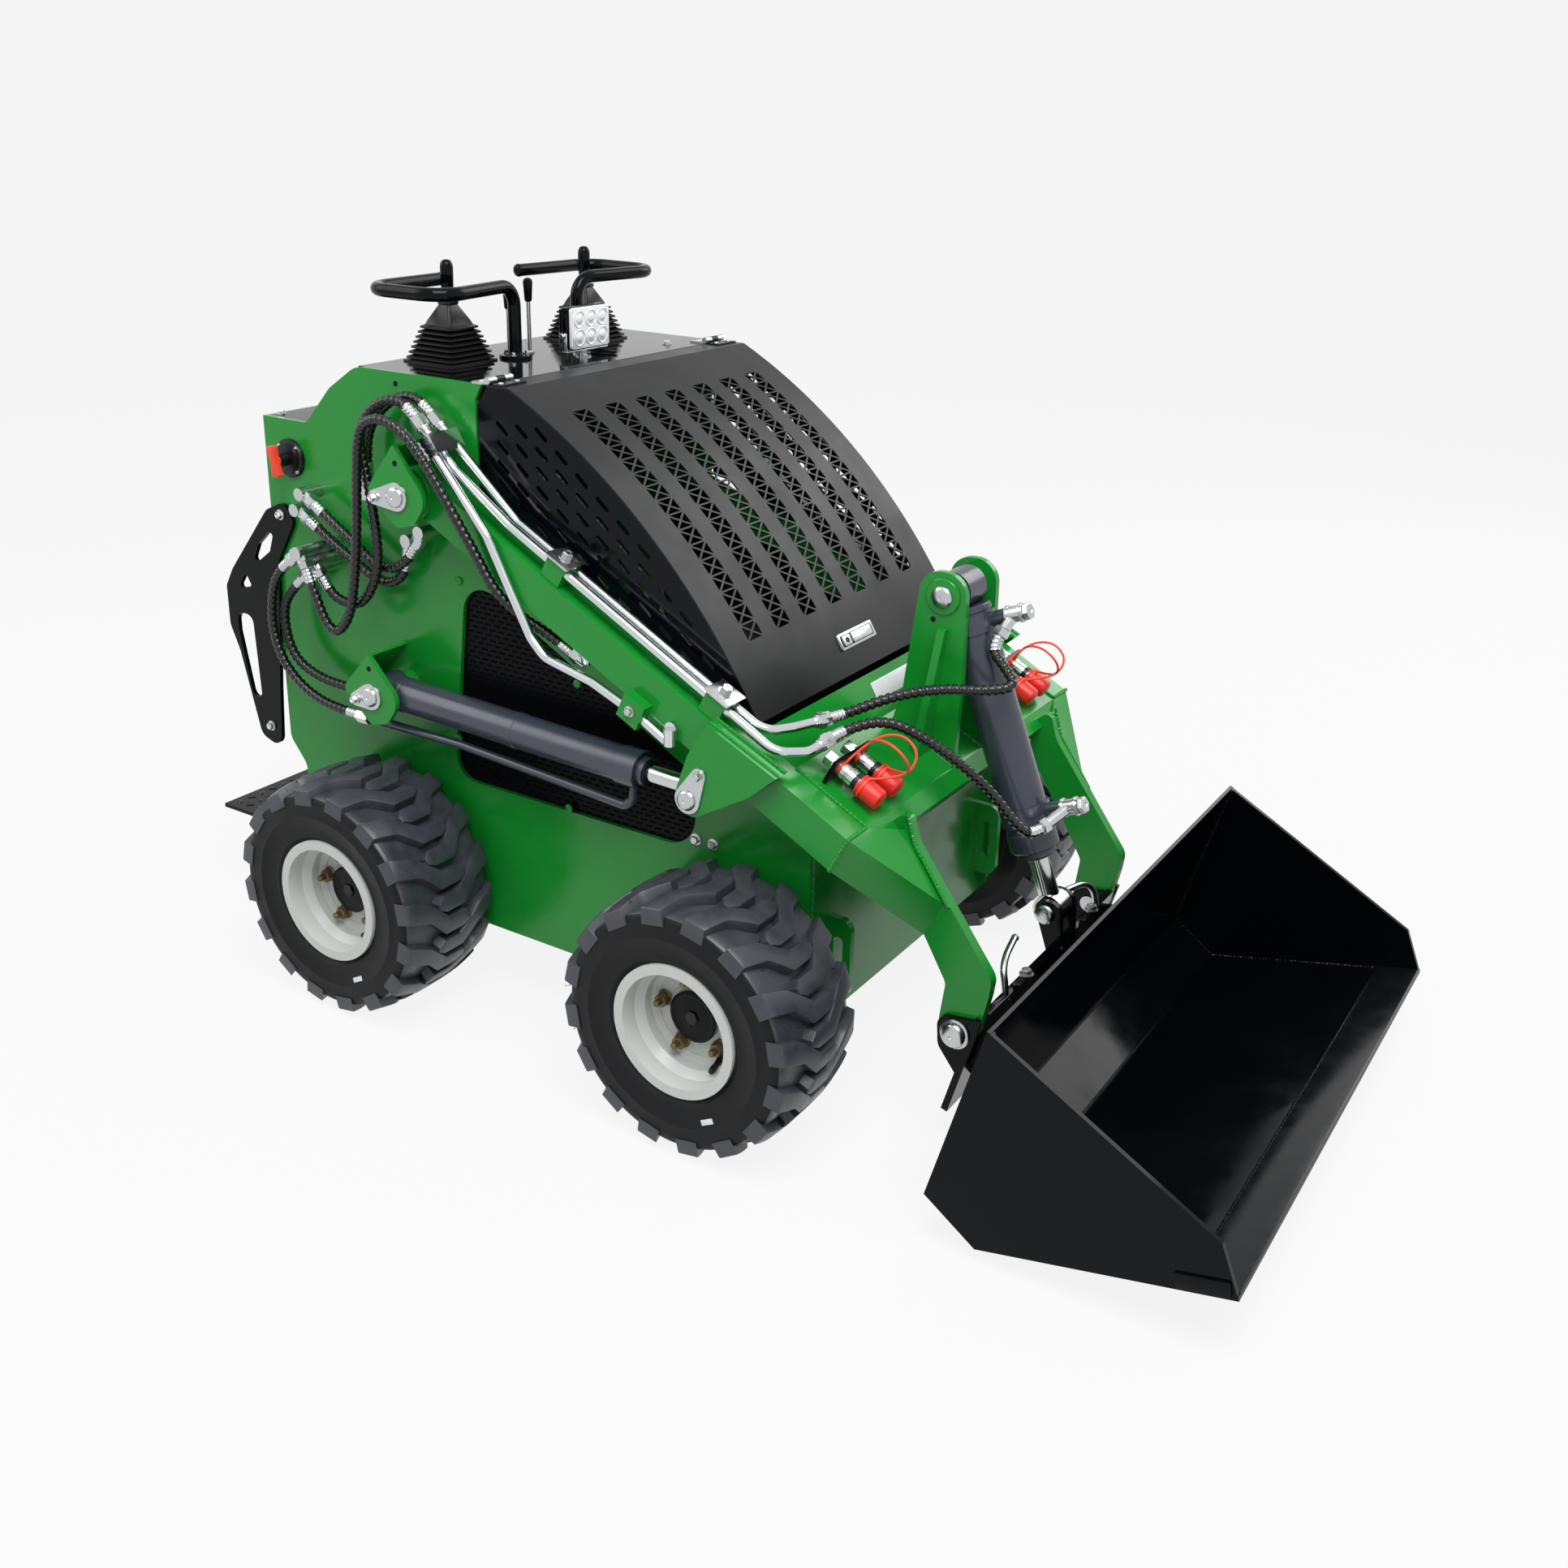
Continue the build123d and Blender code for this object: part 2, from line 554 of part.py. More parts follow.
# ---------------------------------------------------------------- cylinders
def cylinder_parts(base, rod_pin, y, eye_r, eye_w, barrel_r, barrel_l, rod_r, rod_eye_r, rod_eye_w):
    """Barrel with its base eye, and rod with its eye; both lie in the plane of constant y."""
    at = lambda distance: (along(base, rod_pin, distance)[0], y, along(base, rod_pin, distance)[1])
    end = eye_r - 2 + barrel_l
    barrel = bar(at(eye_r - 2), at(end), barrel_r) + bar(at(end), at(end + 12), barrel_r - 6)
    barrel += across(base, y - eye_w / 2, y + eye_w / 2, eye_r)
    barrel -= across(base, y - eye_w / 2 - 1, y + eye_w / 2 + 1, PIN_R + SHAFT_CLEAR)
    barrel -= bar(at(eye_r + barrel_l * 0.15), at(end + 52), rod_r + SHAFT_CLEAR)
    rod = bar(at(eye_r + barrel_l * 0.3 + 5), at(math.dist(base, rod_pin) - rod_eye_r + 5), rod_r)
    rod += across(rod_pin, y - rod_eye_w / 2, y + rod_eye_w / 2, rod_eye_r)
    return barrel, rod, at


lift_barrel, lift_rod, _ = cylinder_parts(LIFT_BASE, LIFT_ROD_PIN, -LIFT_Y, LIFT_EYE_R, LIFT_EYE_W,
                                          LIFT_BARREL_R,
                                          LIFT_BARREL_L, LIFT_ROD_R, LIFT_EYE_R - 3, LIFT_EYE_W - 10)
keep("lift_rod_right", lift_rod)
keep("lift_rod_left", left_of(lift_rod))
tilt_barrel, tilt_rod, tilt_at = cylinder_parts(TOWER_PIN, TILT_ROD_PIN, 0, TILT_EYE_R, TILT_EYE_W,
                                                TILT_BARREL_R,
                                                TILT_BARREL_L, TILT_ROD_R, TILT_ROD_EYE_R, TILT_ROD_EYE_W)
keep("tilt_rod", tilt_rod)

# ports stand square on the tilt barrel's front, each with a banjo at its end
TILT_PORTS = (62.0, 400.0)    # from the tower pin, along the barrel
PORT_OUT = 84.0               # banjo's centre, from the barrel's axis
tilt_dir = (Vector(*tilt_at(1)) - Vector(*tilt_at(0))).normalized()
port_dir = Vector(-tilt_dir.Z, 0, tilt_dir.X)
banjos = []
for distance in TILT_PORTS:
    base = Vector(*tilt_at(distance))
    banjo = base + port_dir * PORT_OUT
    collar = bar(tilt_at(distance - 16), tilt_at(distance + 16), TILT_BARREL_R + COLLAR)
    collar -= bar(tilt_at(distance - 17), tilt_at(distance + 17), TILT_ROD_R + SHAFT_CLEAR)
    stub_start = base + port_dir * (TILT_BARREL_R - 2)
    tilt_barrel += collar + bar(tuple(stub_start), tuple(banjo - port_dir * 12), 13)
    banjos.append(banjo)
keep("tilt_barrel", tilt_barrel)

# ---------------------------------------------------------------- attach plate and bucket
back_dir = (Vector(*BUCKET_BACK_TOP) - Vector(*BUCKET_HEEL)).normalized()
top = Vector(*PLATE_TOP)
bottom = top - back_dir * PLATE_L
plate_back = Vector(-back_dir.Y, back_dir.X) * PLATE_T
flat = lambda v, dx=0: (v.X + dx, v.Y)
attach = slab([flat(top), flat(bottom), flat(bottom + plate_back), flat(top + plate_back)], -PLATE_HALF,
              PLATE_HALF)
ear = [flat(top, -2), (FOOT_PIN[0] - 34, FOOT_PIN[1] + 24, 20), (FOOT_PIN[0] - 30, FOOT_PIN[1] - 30, 25),
       flat(bottom + back_dir * 70, -2)]
for y in (-FOOT_OUT - 2 - ATTACH_EAR_T, -FOOT_OUT + FOOT_T + 2):
    attach += both_sides(slab(ear, y, y + ATTACH_EAR_T))
rod_ear = [flat(top, -2), (TILT_ROD_PIN[0] - 26, TILT_ROD_PIN[1] + 26, 24),
           (TILT_ROD_PIN[0] + 28, TILT_ROD_PIN[1] + 24, 24),
           flat(top, 22), flat(bottom + back_dir * 60), flat(bottom + back_dir * 60 + plate_back, -30)]
rod_ear_y = TILT_ROD_EYE_W / 2 + 3
attach += both_sides(slab(rod_ear, rod_ear_y, rod_ear_y + 10))
attach -= both_sides(block(300, 430, -FOOT_OUT - 2, -FOOT_OUT + FOOT_T + 2, 150, 260))
attach -= across(FOOT_PIN, -PLATE_HALF - 5, PLATE_HALF + 5, PIN_R + SHAFT_CLEAR)
attach -= across(TILT_ROD_PIN, -rod_ear_y - 11, rod_ear_y + 11, PIN_R + SHAFT_CLEAR)
keep("attach_plate", attach)
plate_pins = across(TILT_ROD_PIN, -rod_ear_y - 14, -rod_ear_y, PIN_R)
plate_pins += across(FOOT_PIN, -PLATE_HALF - 8, -FOOT_OUT + FOOT_T + 14, PIN_R)
keep("plate_pins", both_sides(plate_pins))

in_back = offset_line(BUCKET_HEEL, BUCKET_BACK_TOP, -BUCKET_T)
in_bend = offset_line(BUCKET_FLOOR, BUCKET_HEEL, -BUCKET_T)
in_floor = offset_line(LIP, BUCKET_FLOOR, -BUCKET_T)
shell = slab([BUCKET_BACK_TOP, BUCKET_HEEL, BUCKET_FLOOR, LIP, in_floor[0], meet(*in_bend, *in_floor),
              meet(*in_back, *in_bend), in_back[1]], -BUCKET_HALF, BUCKET_HALF)
cheek = slab([BUCKET_BACK_TOP, BUCKET_HEEL, BUCKET_FLOOR, LIP, along(LIP, BUCKET_SIDE_FRONT, 20),
              BUCKET_SIDE_FRONT],
             -BUCKET_HALF, -BUCKET_HALF + BUCKET_SIDE_T)
shell += both_sides(cheek)
for y in (-200, 0, 200):
    shell += slab([flat(top), flat(top - back_dir * (PLATE_L - 20)), BUCKET_HEEL,
                   along(BUCKET_HEEL, BUCKET_BACK_TOP, 180)],
                  y - 5, y + 5)
keep("bucket", shell)

# ---------------------------------------------------------------- hood
HOOD_REAR = (DECK_FRONT + HOOD_GAP, DECK_Z)
CURVE_TOP = (HOOD_REAR[0] + HOOD_FLAT, DECK_Z)
CURVE_END = (NOSE_TOP[0], NOSE_TOP[1] + 15)
chord = Vector(*CURVE_END) - Vector(*CURVE_TOP)
chord_up = Vector(-chord.Y, chord.X).normalized()
hood_r = (chord.length ** 2 / 4 + HOOD_BULGE ** 2) / (2 * HOOD_BULGE)
hood_centre = (Vector(*CURVE_TOP) + Vector(*CURVE_END)) * 0.5 - chord_up * (hood_r - HOOD_BULGE)
curve_start = math.atan2(CURVE_TOP[1] - hood_centre.Y, CURVE_TOP[0] - hood_centre.X)


def hood_point(distance, depth=0.0):
    """(x, z) on the hood's curve at a distance from its top, depth below it."""
    angle = curve_start - distance / hood_r
    r = hood_r - depth
    return (hood_centre.X + r * math.cos(angle), hood_centre.Y + r * math.sin(angle))


def hood_plane(distance, y):
    """Tangent plane of the curved top: local X across the hood, local Y up the slope."""
    angle = curve_start - distance / hood_r
    x, z = hood_point(distance)
    return Plane(origin=(x, y, z), x_dir=(0, 1, 0), z_dir=(math.cos(angle), 0, math.sin(angle)))


curve_length = hood_r * 2 * math.asin(chord.length / 2 / hood_r)


def curve(depth, reverse=False):
    ends = (curve_length, 0) if reverse else (0, curve_length)
    return ThreePointArc(hood_point(ends[0], depth), hood_point(curve_length / 2, depth),
                         hood_point(ends[1], depth))


def lowered(point):
    return (point[0], point[1] - HOOD_T)


# the top sheet, its flat strip carried on as the curve
skin = make_face([
    Line(HOOD_REAR, CURVE_TOP), curve(0), Line(hood_point(curve_length), hood_point(curve_length, HOOD_T)),
    curve(HOOD_T, True), Line(hood_point(0, HOOD_T), lowered(HOOD_REAR)),
    Line(lowered(HOOD_REAR), HOOD_REAR),
])
hood = extrude(side_view(BODY_HALF) * skin, 2 * BODY_HALF)
cutters = []
bar_w = LATTICE_BAR
half_h = LATTICE_CELL / 2 - bar_w / 2
half_l = LATTICE_W / 2
TRIANGLES = [
    [(-half_l + bar_w, half_h), (half_l - bar_w, half_h), (0, bar_w * 0.75)],
    [(-half_l + bar_w, -half_h), (0, -bar_w * 0.75), (half_l - bar_w, -half_h)],
    [(-half_l, half_h - bar_w * 0.75), (-bar_w, 0), (-half_l, -half_h + bar_w * 0.75)],
    [(half_l, half_h - bar_w * 0.75), (half_l, -half_h + bar_w * 0.75), (bar_w, 0)],
]
columns = int((BODY_HALF - LATTICE_W) / LATTICE_PITCH)
for i in range(LATTICE_CELLS):
    for column in range(-columns, columns + 1):
        plane = hood_plane(LATTICE_START + LATTICE_CELL * (i + 0.5),
                           column * LATTICE_PITCH).offset(-2 * HOOD_T)
        cutters += [extrude(plane * make_face(Polyline(*t, close=True)), 4 * HOOD_T) for t in TRIANGLES]
hood = hood.cut(*cutters)
hinges = None
for y in (-BODY_HALF + HINGE_SET_IN, BODY_HALF - HINGE_SET_IN):
    leaf = block(HINGE[0] - HINGE_LEAF, HINGE[0] - 2.4, y - HINGE_HALF, y + HINGE_HALF, DECK_Z, DECK_Z + 3)
    fixed = leaf + across(HINGE, y - HINGE_HALF, y + HINGE_HALF, HINGE_PIN_R)
    fixed -= block(HINGE[0] - 7, HINGE[0] + 9, y - 10.5, y + 10.5, DECK_Z - 1, DECK_Z + 4)
    for side in (-1, 1):
        fixed += across(HINGE, y + side * 20 - 9.5, y + side * 20 + 9.5, HINGE_R)
    knuckle = across(HINGE, y - 10, y + 10, HINGE_R)
    knuckle += block(HINGE[0] + 2.5, HINGE[0] + HINGE_LEAF, y - 10, y + 10, DECK_Z, DECK_Z + 3)
    knuckle += block(HINGE[0] + 12, HINGE[0] + HINGE_LEAF, y - HINGE_HALF, y + HINGE_HALF, DECK_Z, DECK_Z + 3)
    hood += knuckle - across(HINGE, y - 11, y + 11, HINGE_PIN_R + SHAFT_CLEAR)
    hinges = fixed if hinges is None else hinges + fixed
keep("hood", hood)
keep("hood_hinges", hinges)

# the cheeks hang under the top sheet's sides, with rows of slanted slots
steps = 12
cheek_edge = [hood_point(curve_length * i / steps, HOOD_T) for i in range(steps + 1)]
cheek_low = [(SILL_X + HOOD_GAP, DECK_Z - 34), (SILL_X + HOOD_GAP, SILL_Z + 8)]
cheek_face = make_face([
    Line(cheek_low[0], lowered(HOOD_REAR)), Line(lowered(HOOD_REAR), hood_point(0, HOOD_T)), curve(HOOD_T),
    Line(hood_point(curve_length, HOOD_T), cheek_low[1]), Line(cheek_low[1], cheek_low[0]),
])
border = [cheek_low[1]] + cheek_edge[::-1] + [lowered(HOOD_REAR), cheek_low[0]]
slots = []
for column in range(12):
    for row in range(14):
        spot = (HOOD_REAR[0] + 31 + SLOT_PITCH[0] * column, DECK_Z - 68 - SLOT_PITCH[1] * row)
        if inside(border, spot, 24):
            slots.append(Pos(*spot) * Rot(0, 0, -SLOT_ANGLE) * SlotOverall(SLOT_L, SLOT_W))
cheek_face = cheek_face.cut(*[s.face() for s in slots])
keep("hood_cheeks", both_sides(extrude(side_view(-BODY_HALF + HOOD_T) * cheek_face, HOOD_T)))

latch_at = hood_plane(LATCH_AT, 5)
latch = latch_at * Box(LATCH_W, LATCH_H, 4, align=(Align.CENTER, Align.CENTER, Align.MIN))
latch += latch_at * Pos(6, 0, 4) * Box(LATCH_W * 0.68, LATCH_H * 0.5, 4,
                                       align=(Align.CENTER, Align.CENTER, Align.MIN))
keep("hood_latch", latch)

# ---------------------------------------------------------------- controls on the deck
boots = None
grips = None
for y in (-STICK_Y, STICK_Y):
    foot_plate = Plane.XY.offset(DECK_Z) * Pos(STICK_X, y)
    boot = extrude(foot_plate * RectangleRounded(BOOT, BOOT, 15), BOOT_H, taper=26)
    grip = bar((STICK_X, y, DECK_Z + BOOT_H), (STICK_X, y, DECK_Z + STICK_H), 11)
    boots = boot if boots is None else boots + boot
    grips = grip if grips is None else grips + grip
keep("joystick_boots", boots)
keep("joystick_grips", grips)

rest_z = DECK_Z + REST_H
REST_ROUTE = [(-706, -88, DECK_Z), (-706, -88, rest_z), (-674, -302, rest_z), (-852, -306, rest_z),
              (-866, -108, rest_z)]
keep("hand_rests", both_sides(tube_along(REST_ROUTE, REST_R, [38, 48, 52])))
levers = None
for x, y, height in ((-724, -29, 137), (-748, -58, 124)):
    lever = (bar((x, y, DECK_Z + SEAT_GAP), (x, y, DECK_Z + height - 42), 4)
             + bar((x, y, DECK_Z + height - 42), (x, y, DECK_Z + height), 9))
    levers = lever if levers is None else levers + lever
keep("control_levers", levers)
lx, ly = LAMP
lamp = block(lx - LAMP_D / 2, lx + LAMP_D / 2, ly - LAMP_W / 2, ly + LAMP_W / 2, DECK_Z + 16,
             DECK_Z + 16 + LAMP_H)
keep("work_lamp", lamp + block(lx - 14, lx + 14, ly - 22, ly + 22, DECK_Z, DECK_Z + 16))


# ---------------------------------------------------------------- hydraulics
def between(start, end, distance):
    """Point at a distance from start towards end."""
    a = Vector(*start)
    return tuple(a + (Vector(*end) - a).normalized() * distance)


def over(x, rise=0.0):
    """Height of a line that runs along an arm's top."""
    return arm_top(x) + LINE_RISE + rise


def on_arm(x, y):
    """Plane on the arm's sloped top: local X down the slope, local Z square off it."""
    return Plane(origin=(x, y, arm_top(x)), x_dir=(lean[1], 0, -lean[0]), z_dir=(lean[0], 0, lean[1]))


def standing(length, width, height):
    return Box(length, width, height, align=(Align.CENTER, Align.CENTER, Align.MIN))


near_y = -ARM_OUT + 15
far_y = near_y + 23
low_y = -ARM_OUT - 9
LINES = [
    [(-655, near_y, 1093), (-575, near_y, 1019), (-458, near_y, over(-458)), (72, near_y, over(72)),
     (104, near_y + 45, over(104, 10)), (112, -300, 664)],
    [(-640, far_y, 1097), (-462, far_y, over(-462)), (36, far_y, over(36)), (60, far_y + 50, over(60, 10)),
     (84, -262, 680)],
    [(-600, low_y, 1050), (-487, low_y, 924), (-398, low_y, 764), (-369, low_y, 735), (-270, low_y, 713),
     (-179, low_y, 677),
     (-112, low_y, 640)],
]
lines = slab([(-628, 1060), (-600, 1082), (-580, 1052), (-608, 1030)], low_y - 9, far_y + 12)
for route in LINES:
    lines += tube_along(route, LINE_R, [min(r, 40) for r in soft_bends(route)])
for route in LINES[:2]:
    lines += bar(route[0], between(route[0], route[1], 22), FITTING_R)
    lines += bar(route[-1], between(route[-1], route[-2], 24), FITTING_R)

# clamp blocks hold the pair of lines on the arm's top, and the third on its side
rise_square = LINE_RISE * lean[1]
clamps = None
for x in (-368, -51):
    clamp = on_arm(x, (near_y + far_y) / 2) * standing(40, 44, rise_square + LINE_R + 5)
    for y in (near_y, far_y):
        ends = [(x + d, y, over(x + d)) for d in (-40, 40)]
        clamp -= bar(*ends, LINE_R + SEAT_GAP)
    clamps = clamp if clamps is None else clamps + clamp
side_clamp = slab([(-193, 715), (-154, 695), (-172, 655), (-211, 675)], low_y - 13, -ARM_OUT)
side_clamp -= tube_along(LINES[2][4:], LINE_R + SEAT_GAP, [40])
keep("line_clamps", clamps + side_clamp)

# routes of the hoses (x, y, z), from a port on the side plate to a line, a barrel or another port
h4_y = near_y - 7
h3_y = low_y - 5
HOSE_TO_NEAR = [(-911, h4_y, 779), (-892, h4_y, 749), (-849, h4_y, 735), (-804, h4_y, 745), (-766, h4_y, 804),
                (-760, h4_y, 865), (-775, h4_y, 971), (-792, h4_y, 1045), (-768, h4_y, 1094),
                (-726, near_y, 1120),
                between(*LINES[0][:2], -38), LINES[0][0]]
HOSE_UNDER = [(-926, h3_y, 798), (-909, h3_y, 754), (-886, h3_y, 700), (-857, h3_y, 683), (-827, h3_y, 712),
              (-809, h3_y, 756), (-790, h3_y, 863), (-779, h3_y, 981), (-765, h3_y - 6, 1048),
              (-738, h3_y - 16, 1086),
              (-690, h3_y - 18, 1099), (-640, h3_y - 18, 1080), (-590, h3_y - 18, 1028),
              (-548, h3_y - 12, 960),
              (-508, h3_y, 888), (-472, h3_y + 2, 832), (-432, h3_y + 20, 790), (-380, h3_y + 34, 765),
              (-330, h3_y + 36, 740)]
HOSE_TO_FAR = [(-806, far_y, 968), (-806, far_y, 1022), (-790, far_y, 1068), (-750, far_y, 1106),
               (-706, far_y, 1126),
               between(*LINES[1][:2], -36), LINES[1][0]]
HOSE_BACK = [
    [(x, near_y + 13, z) for x, z in ((-942, 905), (-890, 873), (-837, 845), (-802, 819), (-754, 811),
                                      (-709, 834), (-684, 872))],
    [(x, near_y + 23, z) for x, z in ((-970, 870), (-906, 832), (-852, 808), (-810, 786), (-766, 780),
                                      (-727, 806), (-718, 845))],
]
HOSE_LIFT = [
    [(x, near_y - 5, z) for x, z in ((-990, 794), (-1028, 767), (-1052, 720), (-1060, 655), (-1043, 597),
                                     (-1006, 557),
                                     (-955, 532), (-898, 522), (-836, 522))],
    [(x, near_y + 12, z) for x, z in ((-975, 762), (-1027, 719), (-1044, 677), (-1038, 622), (-1014, 586),
                                      (-960, 566),
                                      (-902, 562), (-836, 562))],
]


def port(route):
    """Bulkhead stub out of the side plate and the ferrule that carries a hose's start."""
    foot = between(route[0], route[1], -26)
    elbow = bar((foot[0], foot[1] - FITTING_R - 2, foot[2]), (foot[0], -BODY_HALF, foot[2]), FITTING_R + 1)
    return elbow + bar(foot, route[0], FITTING_R)


def hoses(routes):
    group = hose(routes[0])
    for route in routes[1:]:
        group += hose(route)
    return group


fittings = None
for route in [HOSE_TO_NEAR, HOSE_UNDER, HOSE_TO_FAR] + HOSE_BACK + [r[::-1] for r in HOSE_BACK]:
    piece = port(route)
    fittings = piece if fittings is None else fittings + piece
for route in HOSE_LIFT:
    fittings += both_sides(port(route))
keep("port_fittings", fittings)
keep("hoses_arm", hoses([HOSE_TO_NEAR, HOSE_UNDER, HOSE_TO_FAR] + HOSE_BACK))
keep("hoses_lift", both_sides(hoses(HOSE_LIFT)))

# the outermost hose ends in an elbow under the arm
elbow = between(HOSE_UNDER[-1], HOSE_UNDER[-2], -26)
arm_under = arm_top(elbow[0]) - ARM_DEPTH / lean[1]
lines += bar(HOSE_UNDER[-1], elbow, FITTING_R) + bar(elbow, (elbow[0], elbow[1], arm_under + 4), FITTING_R)
stub = LINES[2][-1]
lines += bar(stub, (stub[0], stub[1], stub[2] + 28), LINE_R + 3)
lines += bar((stub[0], stub[1], stub[2] + 28), (stub[0], -ARM_OUT, stub[2] + 28), LINE_R + 3)
lines -= arm
front_ends = block(LINE_SPLIT_X, BEAM_FRONT_X, low_y, -BODY_HALF / 2, ARM_KINK_Z, DECK_Z)
keep("line_ends", lines & front_ends)
keep("steel_lines", lines - front_ends)

# a pipe under each lift barrel feeds its rod end, and a stub its base; the lift hoses meet both
base_pipe, base_stub = HOSE_LIFT[0][-1], HOSE_LIFT[1][-1]
PIPE = [base_pipe, (-583, base_pipe[1], 522), (-220, base_pipe[1], 500), (-203, base_pipe[1], 514),
        (-199, base_pipe[1], 552)]
lift_barrel += tube_along(PIPE, LINE_R, [200, 14, 10])
lift_barrel += bar(base_pipe, (base_pipe[0] + 26, base_pipe[1], base_pipe[2]), FITTING_R)
lift_barrel += bar(base_stub, (LIFT_BASE[0] - 15, base_stub[1], base_stub[2]), FITTING_R)
keep("lift_barrel_right", lift_barrel)
keep("lift_barrel_left", left_of(lift_barrel))

# hoses from the lines' front ends to the banjos on the tilt barrel
tilt_ends = [(268, -20, 796), (384, -56, 492)]
into = [between(end, tuple(banjo), -30) for end, banjo in zip(tilt_ends, banjos)]
HOSE_TILT = [
    [LINES[1][-1], between(*LINES[1][:-3:-1], -36), (161, -178, 712), (222, -134, 724), (285, -92, 720),
     (318, -54, 724),
     (288, -42, 750), into[0], tilt_ends[0]],
    [LINES[0][-1], between(*LINES[0][:-3:-1], -36), (172, -230, 690), (225, -190, 657), (275, -150, 608),
     (316, -114, 556),
     (350, -98, 506), into[1], tilt_ends[1]],
]
keep("hoses_tilt", hoses(HOSE_TILT))
tilt_fittings = None
for banjo, route in zip(banjos, HOSE_TILT):
    piece = (bar(banjo - port_dir * 12, banjo + port_dir * 20, 14)
             + bar(route[-1], tuple(banjo), 10) - tilt_barrel)
    tilt_fittings = piece if tilt_fittings is None else tilt_fittings + piece
keep("tilt_fittings", tilt_fittings)

# two pairs of quick couplers with their caps, each pair in a bracket on the beam
COUPLER_Y = (-312.0, -256.0)
COUPLER_X = 112.0
COUPLER_UP = 26.0
COUPLER_L = 66.0
CAP_L = 40.0
couplers = None
caps = None
lying = (Align.CENTER, Align.CENTER, Align.MIN)
brace = on_arm(COUPLER_X, sum(COUPLER_Y) / 2) * Pos(16, 0, 0) * standing(6, 108, COUPLER_UP + 20)
for y in COUPLER_Y:
    lay = on_arm(COUPLER_X, y) * Pos(0, 0, COUPLER_UP) * Rot(0, 90, 0)
    coupler = lay * Cylinder(COUPLER_R, COUPLER_L, align=lying)
    cap = lay * Pos(0, 0, COUPLER_L) * Cylinder(CAP_R, CAP_L, align=lying)
    brace -= lay * Cylinder(COUPLER_R + SEAT_GAP, COUPLER_L, align=lying)
    couplers = coupler if couplers is None else couplers + coupler
    caps = cap if caps is None else caps + cap
keep("quick_couplers", both_sides(couplers))
keep("coupler_caps", both_sides(caps))
keep("coupler_brackets", both_sides(brace))

# ---------------------------------------------------------------- build the step files
os.makedirs("parts", exist_ok=True)
for node, shape in PIECES.items():
    export_step(Pos(SHIFT_X, 0, 0) * shape, "parts/" + node + ".step")
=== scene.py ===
"""Looks of a compact stand-on skid steer loader: paint, rubber, hydraulics and small hardware."""
import json
import math
import random

import bmesh
import bpy
from mathutils import Matrix, Vector

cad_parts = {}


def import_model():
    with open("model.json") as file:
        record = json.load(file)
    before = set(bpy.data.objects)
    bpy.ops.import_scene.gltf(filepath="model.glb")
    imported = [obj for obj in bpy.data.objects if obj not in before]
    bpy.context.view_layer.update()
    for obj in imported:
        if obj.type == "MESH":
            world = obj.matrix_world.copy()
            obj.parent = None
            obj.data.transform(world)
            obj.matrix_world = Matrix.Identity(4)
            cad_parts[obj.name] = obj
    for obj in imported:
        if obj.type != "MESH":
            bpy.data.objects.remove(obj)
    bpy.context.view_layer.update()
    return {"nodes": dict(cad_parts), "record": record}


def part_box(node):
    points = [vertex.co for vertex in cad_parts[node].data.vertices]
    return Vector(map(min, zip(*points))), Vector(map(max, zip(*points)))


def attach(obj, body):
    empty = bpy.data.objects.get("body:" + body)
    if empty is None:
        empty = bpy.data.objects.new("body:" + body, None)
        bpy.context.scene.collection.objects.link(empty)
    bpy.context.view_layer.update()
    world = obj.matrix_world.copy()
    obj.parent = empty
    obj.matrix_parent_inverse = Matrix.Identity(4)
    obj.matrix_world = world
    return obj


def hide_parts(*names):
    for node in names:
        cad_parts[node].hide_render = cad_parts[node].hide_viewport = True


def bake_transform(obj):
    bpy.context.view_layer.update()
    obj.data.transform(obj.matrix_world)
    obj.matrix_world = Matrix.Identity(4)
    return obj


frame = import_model()
nodes = frame["nodes"]
random.seed(7)

# Places are millimetres from the front axle (x), the middle (y) and the floor (z), as in the part's source.
MM = 0.001
wheel_low, wheel_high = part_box("tyre_front_right")
AXLE_X = (wheel_low[0] + wheel_high[0]) / 2 / MM
AXLE_Z = (wheel_low[2] + wheel_high[2]) / 2 / MM
TRACK_HALF = -(wheel_low[1] + wheel_high[1]) / 2 / MM
WHEELBASE = 776.0
DECK_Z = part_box("deck")[1][2] / MM
BODY_HALF = 345.0
ARM_IN = BODY_HALF + 10
ARM_OUT = ARM_IN + 55
EAR_OUT = ARM_OUT + 30
ARM_SLOPE = math.radians(27.6)
ARM_KINK = (216.0, 558.0)
PIVOT = (-667.0, 967.0)
LIFT_BASE = (-761.0, 587.0)
LIFT_ROD_PIN = (-61.0, 566.0)
LIFT_Y = ARM_IN + 40
TOWER_PIN = (180.0, 854.0)
TOWER_OUT = 62.0
TILT_ROD_PIN = (391.0, 322.0)
FOOT_PIN = (360.0, 211.0)
FOOT_OUT = ARM_IN - 72
HOOD_TOP = (-495.0, DECK_Z)
HOOD_END = (8.0, 680.0)
HOOD_BULGE = 53.0
BUCKET_HALF = 530.0
UP, AHEAD, RIGHT, LEFT = (0, 0, 1), (1, 0, 0), (0, -1, 0), (0, 1, 0)
SLOPE_UP = (math.sin(ARM_SLOPE), 0, math.cos(ARM_SLOPE))
SLOPE_DOWN = (math.cos(ARM_SLOPE), 0, -math.sin(ARM_SLOPE))


# ---------------------------------------------------------------- materials
def colour(code):
    """Linear colour from an sRGB hex code."""
    channels = [int(code[i:i + 2], 16) / 255 for i in (0, 2, 4)]
    linear = [c / 12.92 if c <= 0.04045 else ((c + 0.055) / 1.055) ** 2.4 for c in channels]
    return (*linear, 1.0)


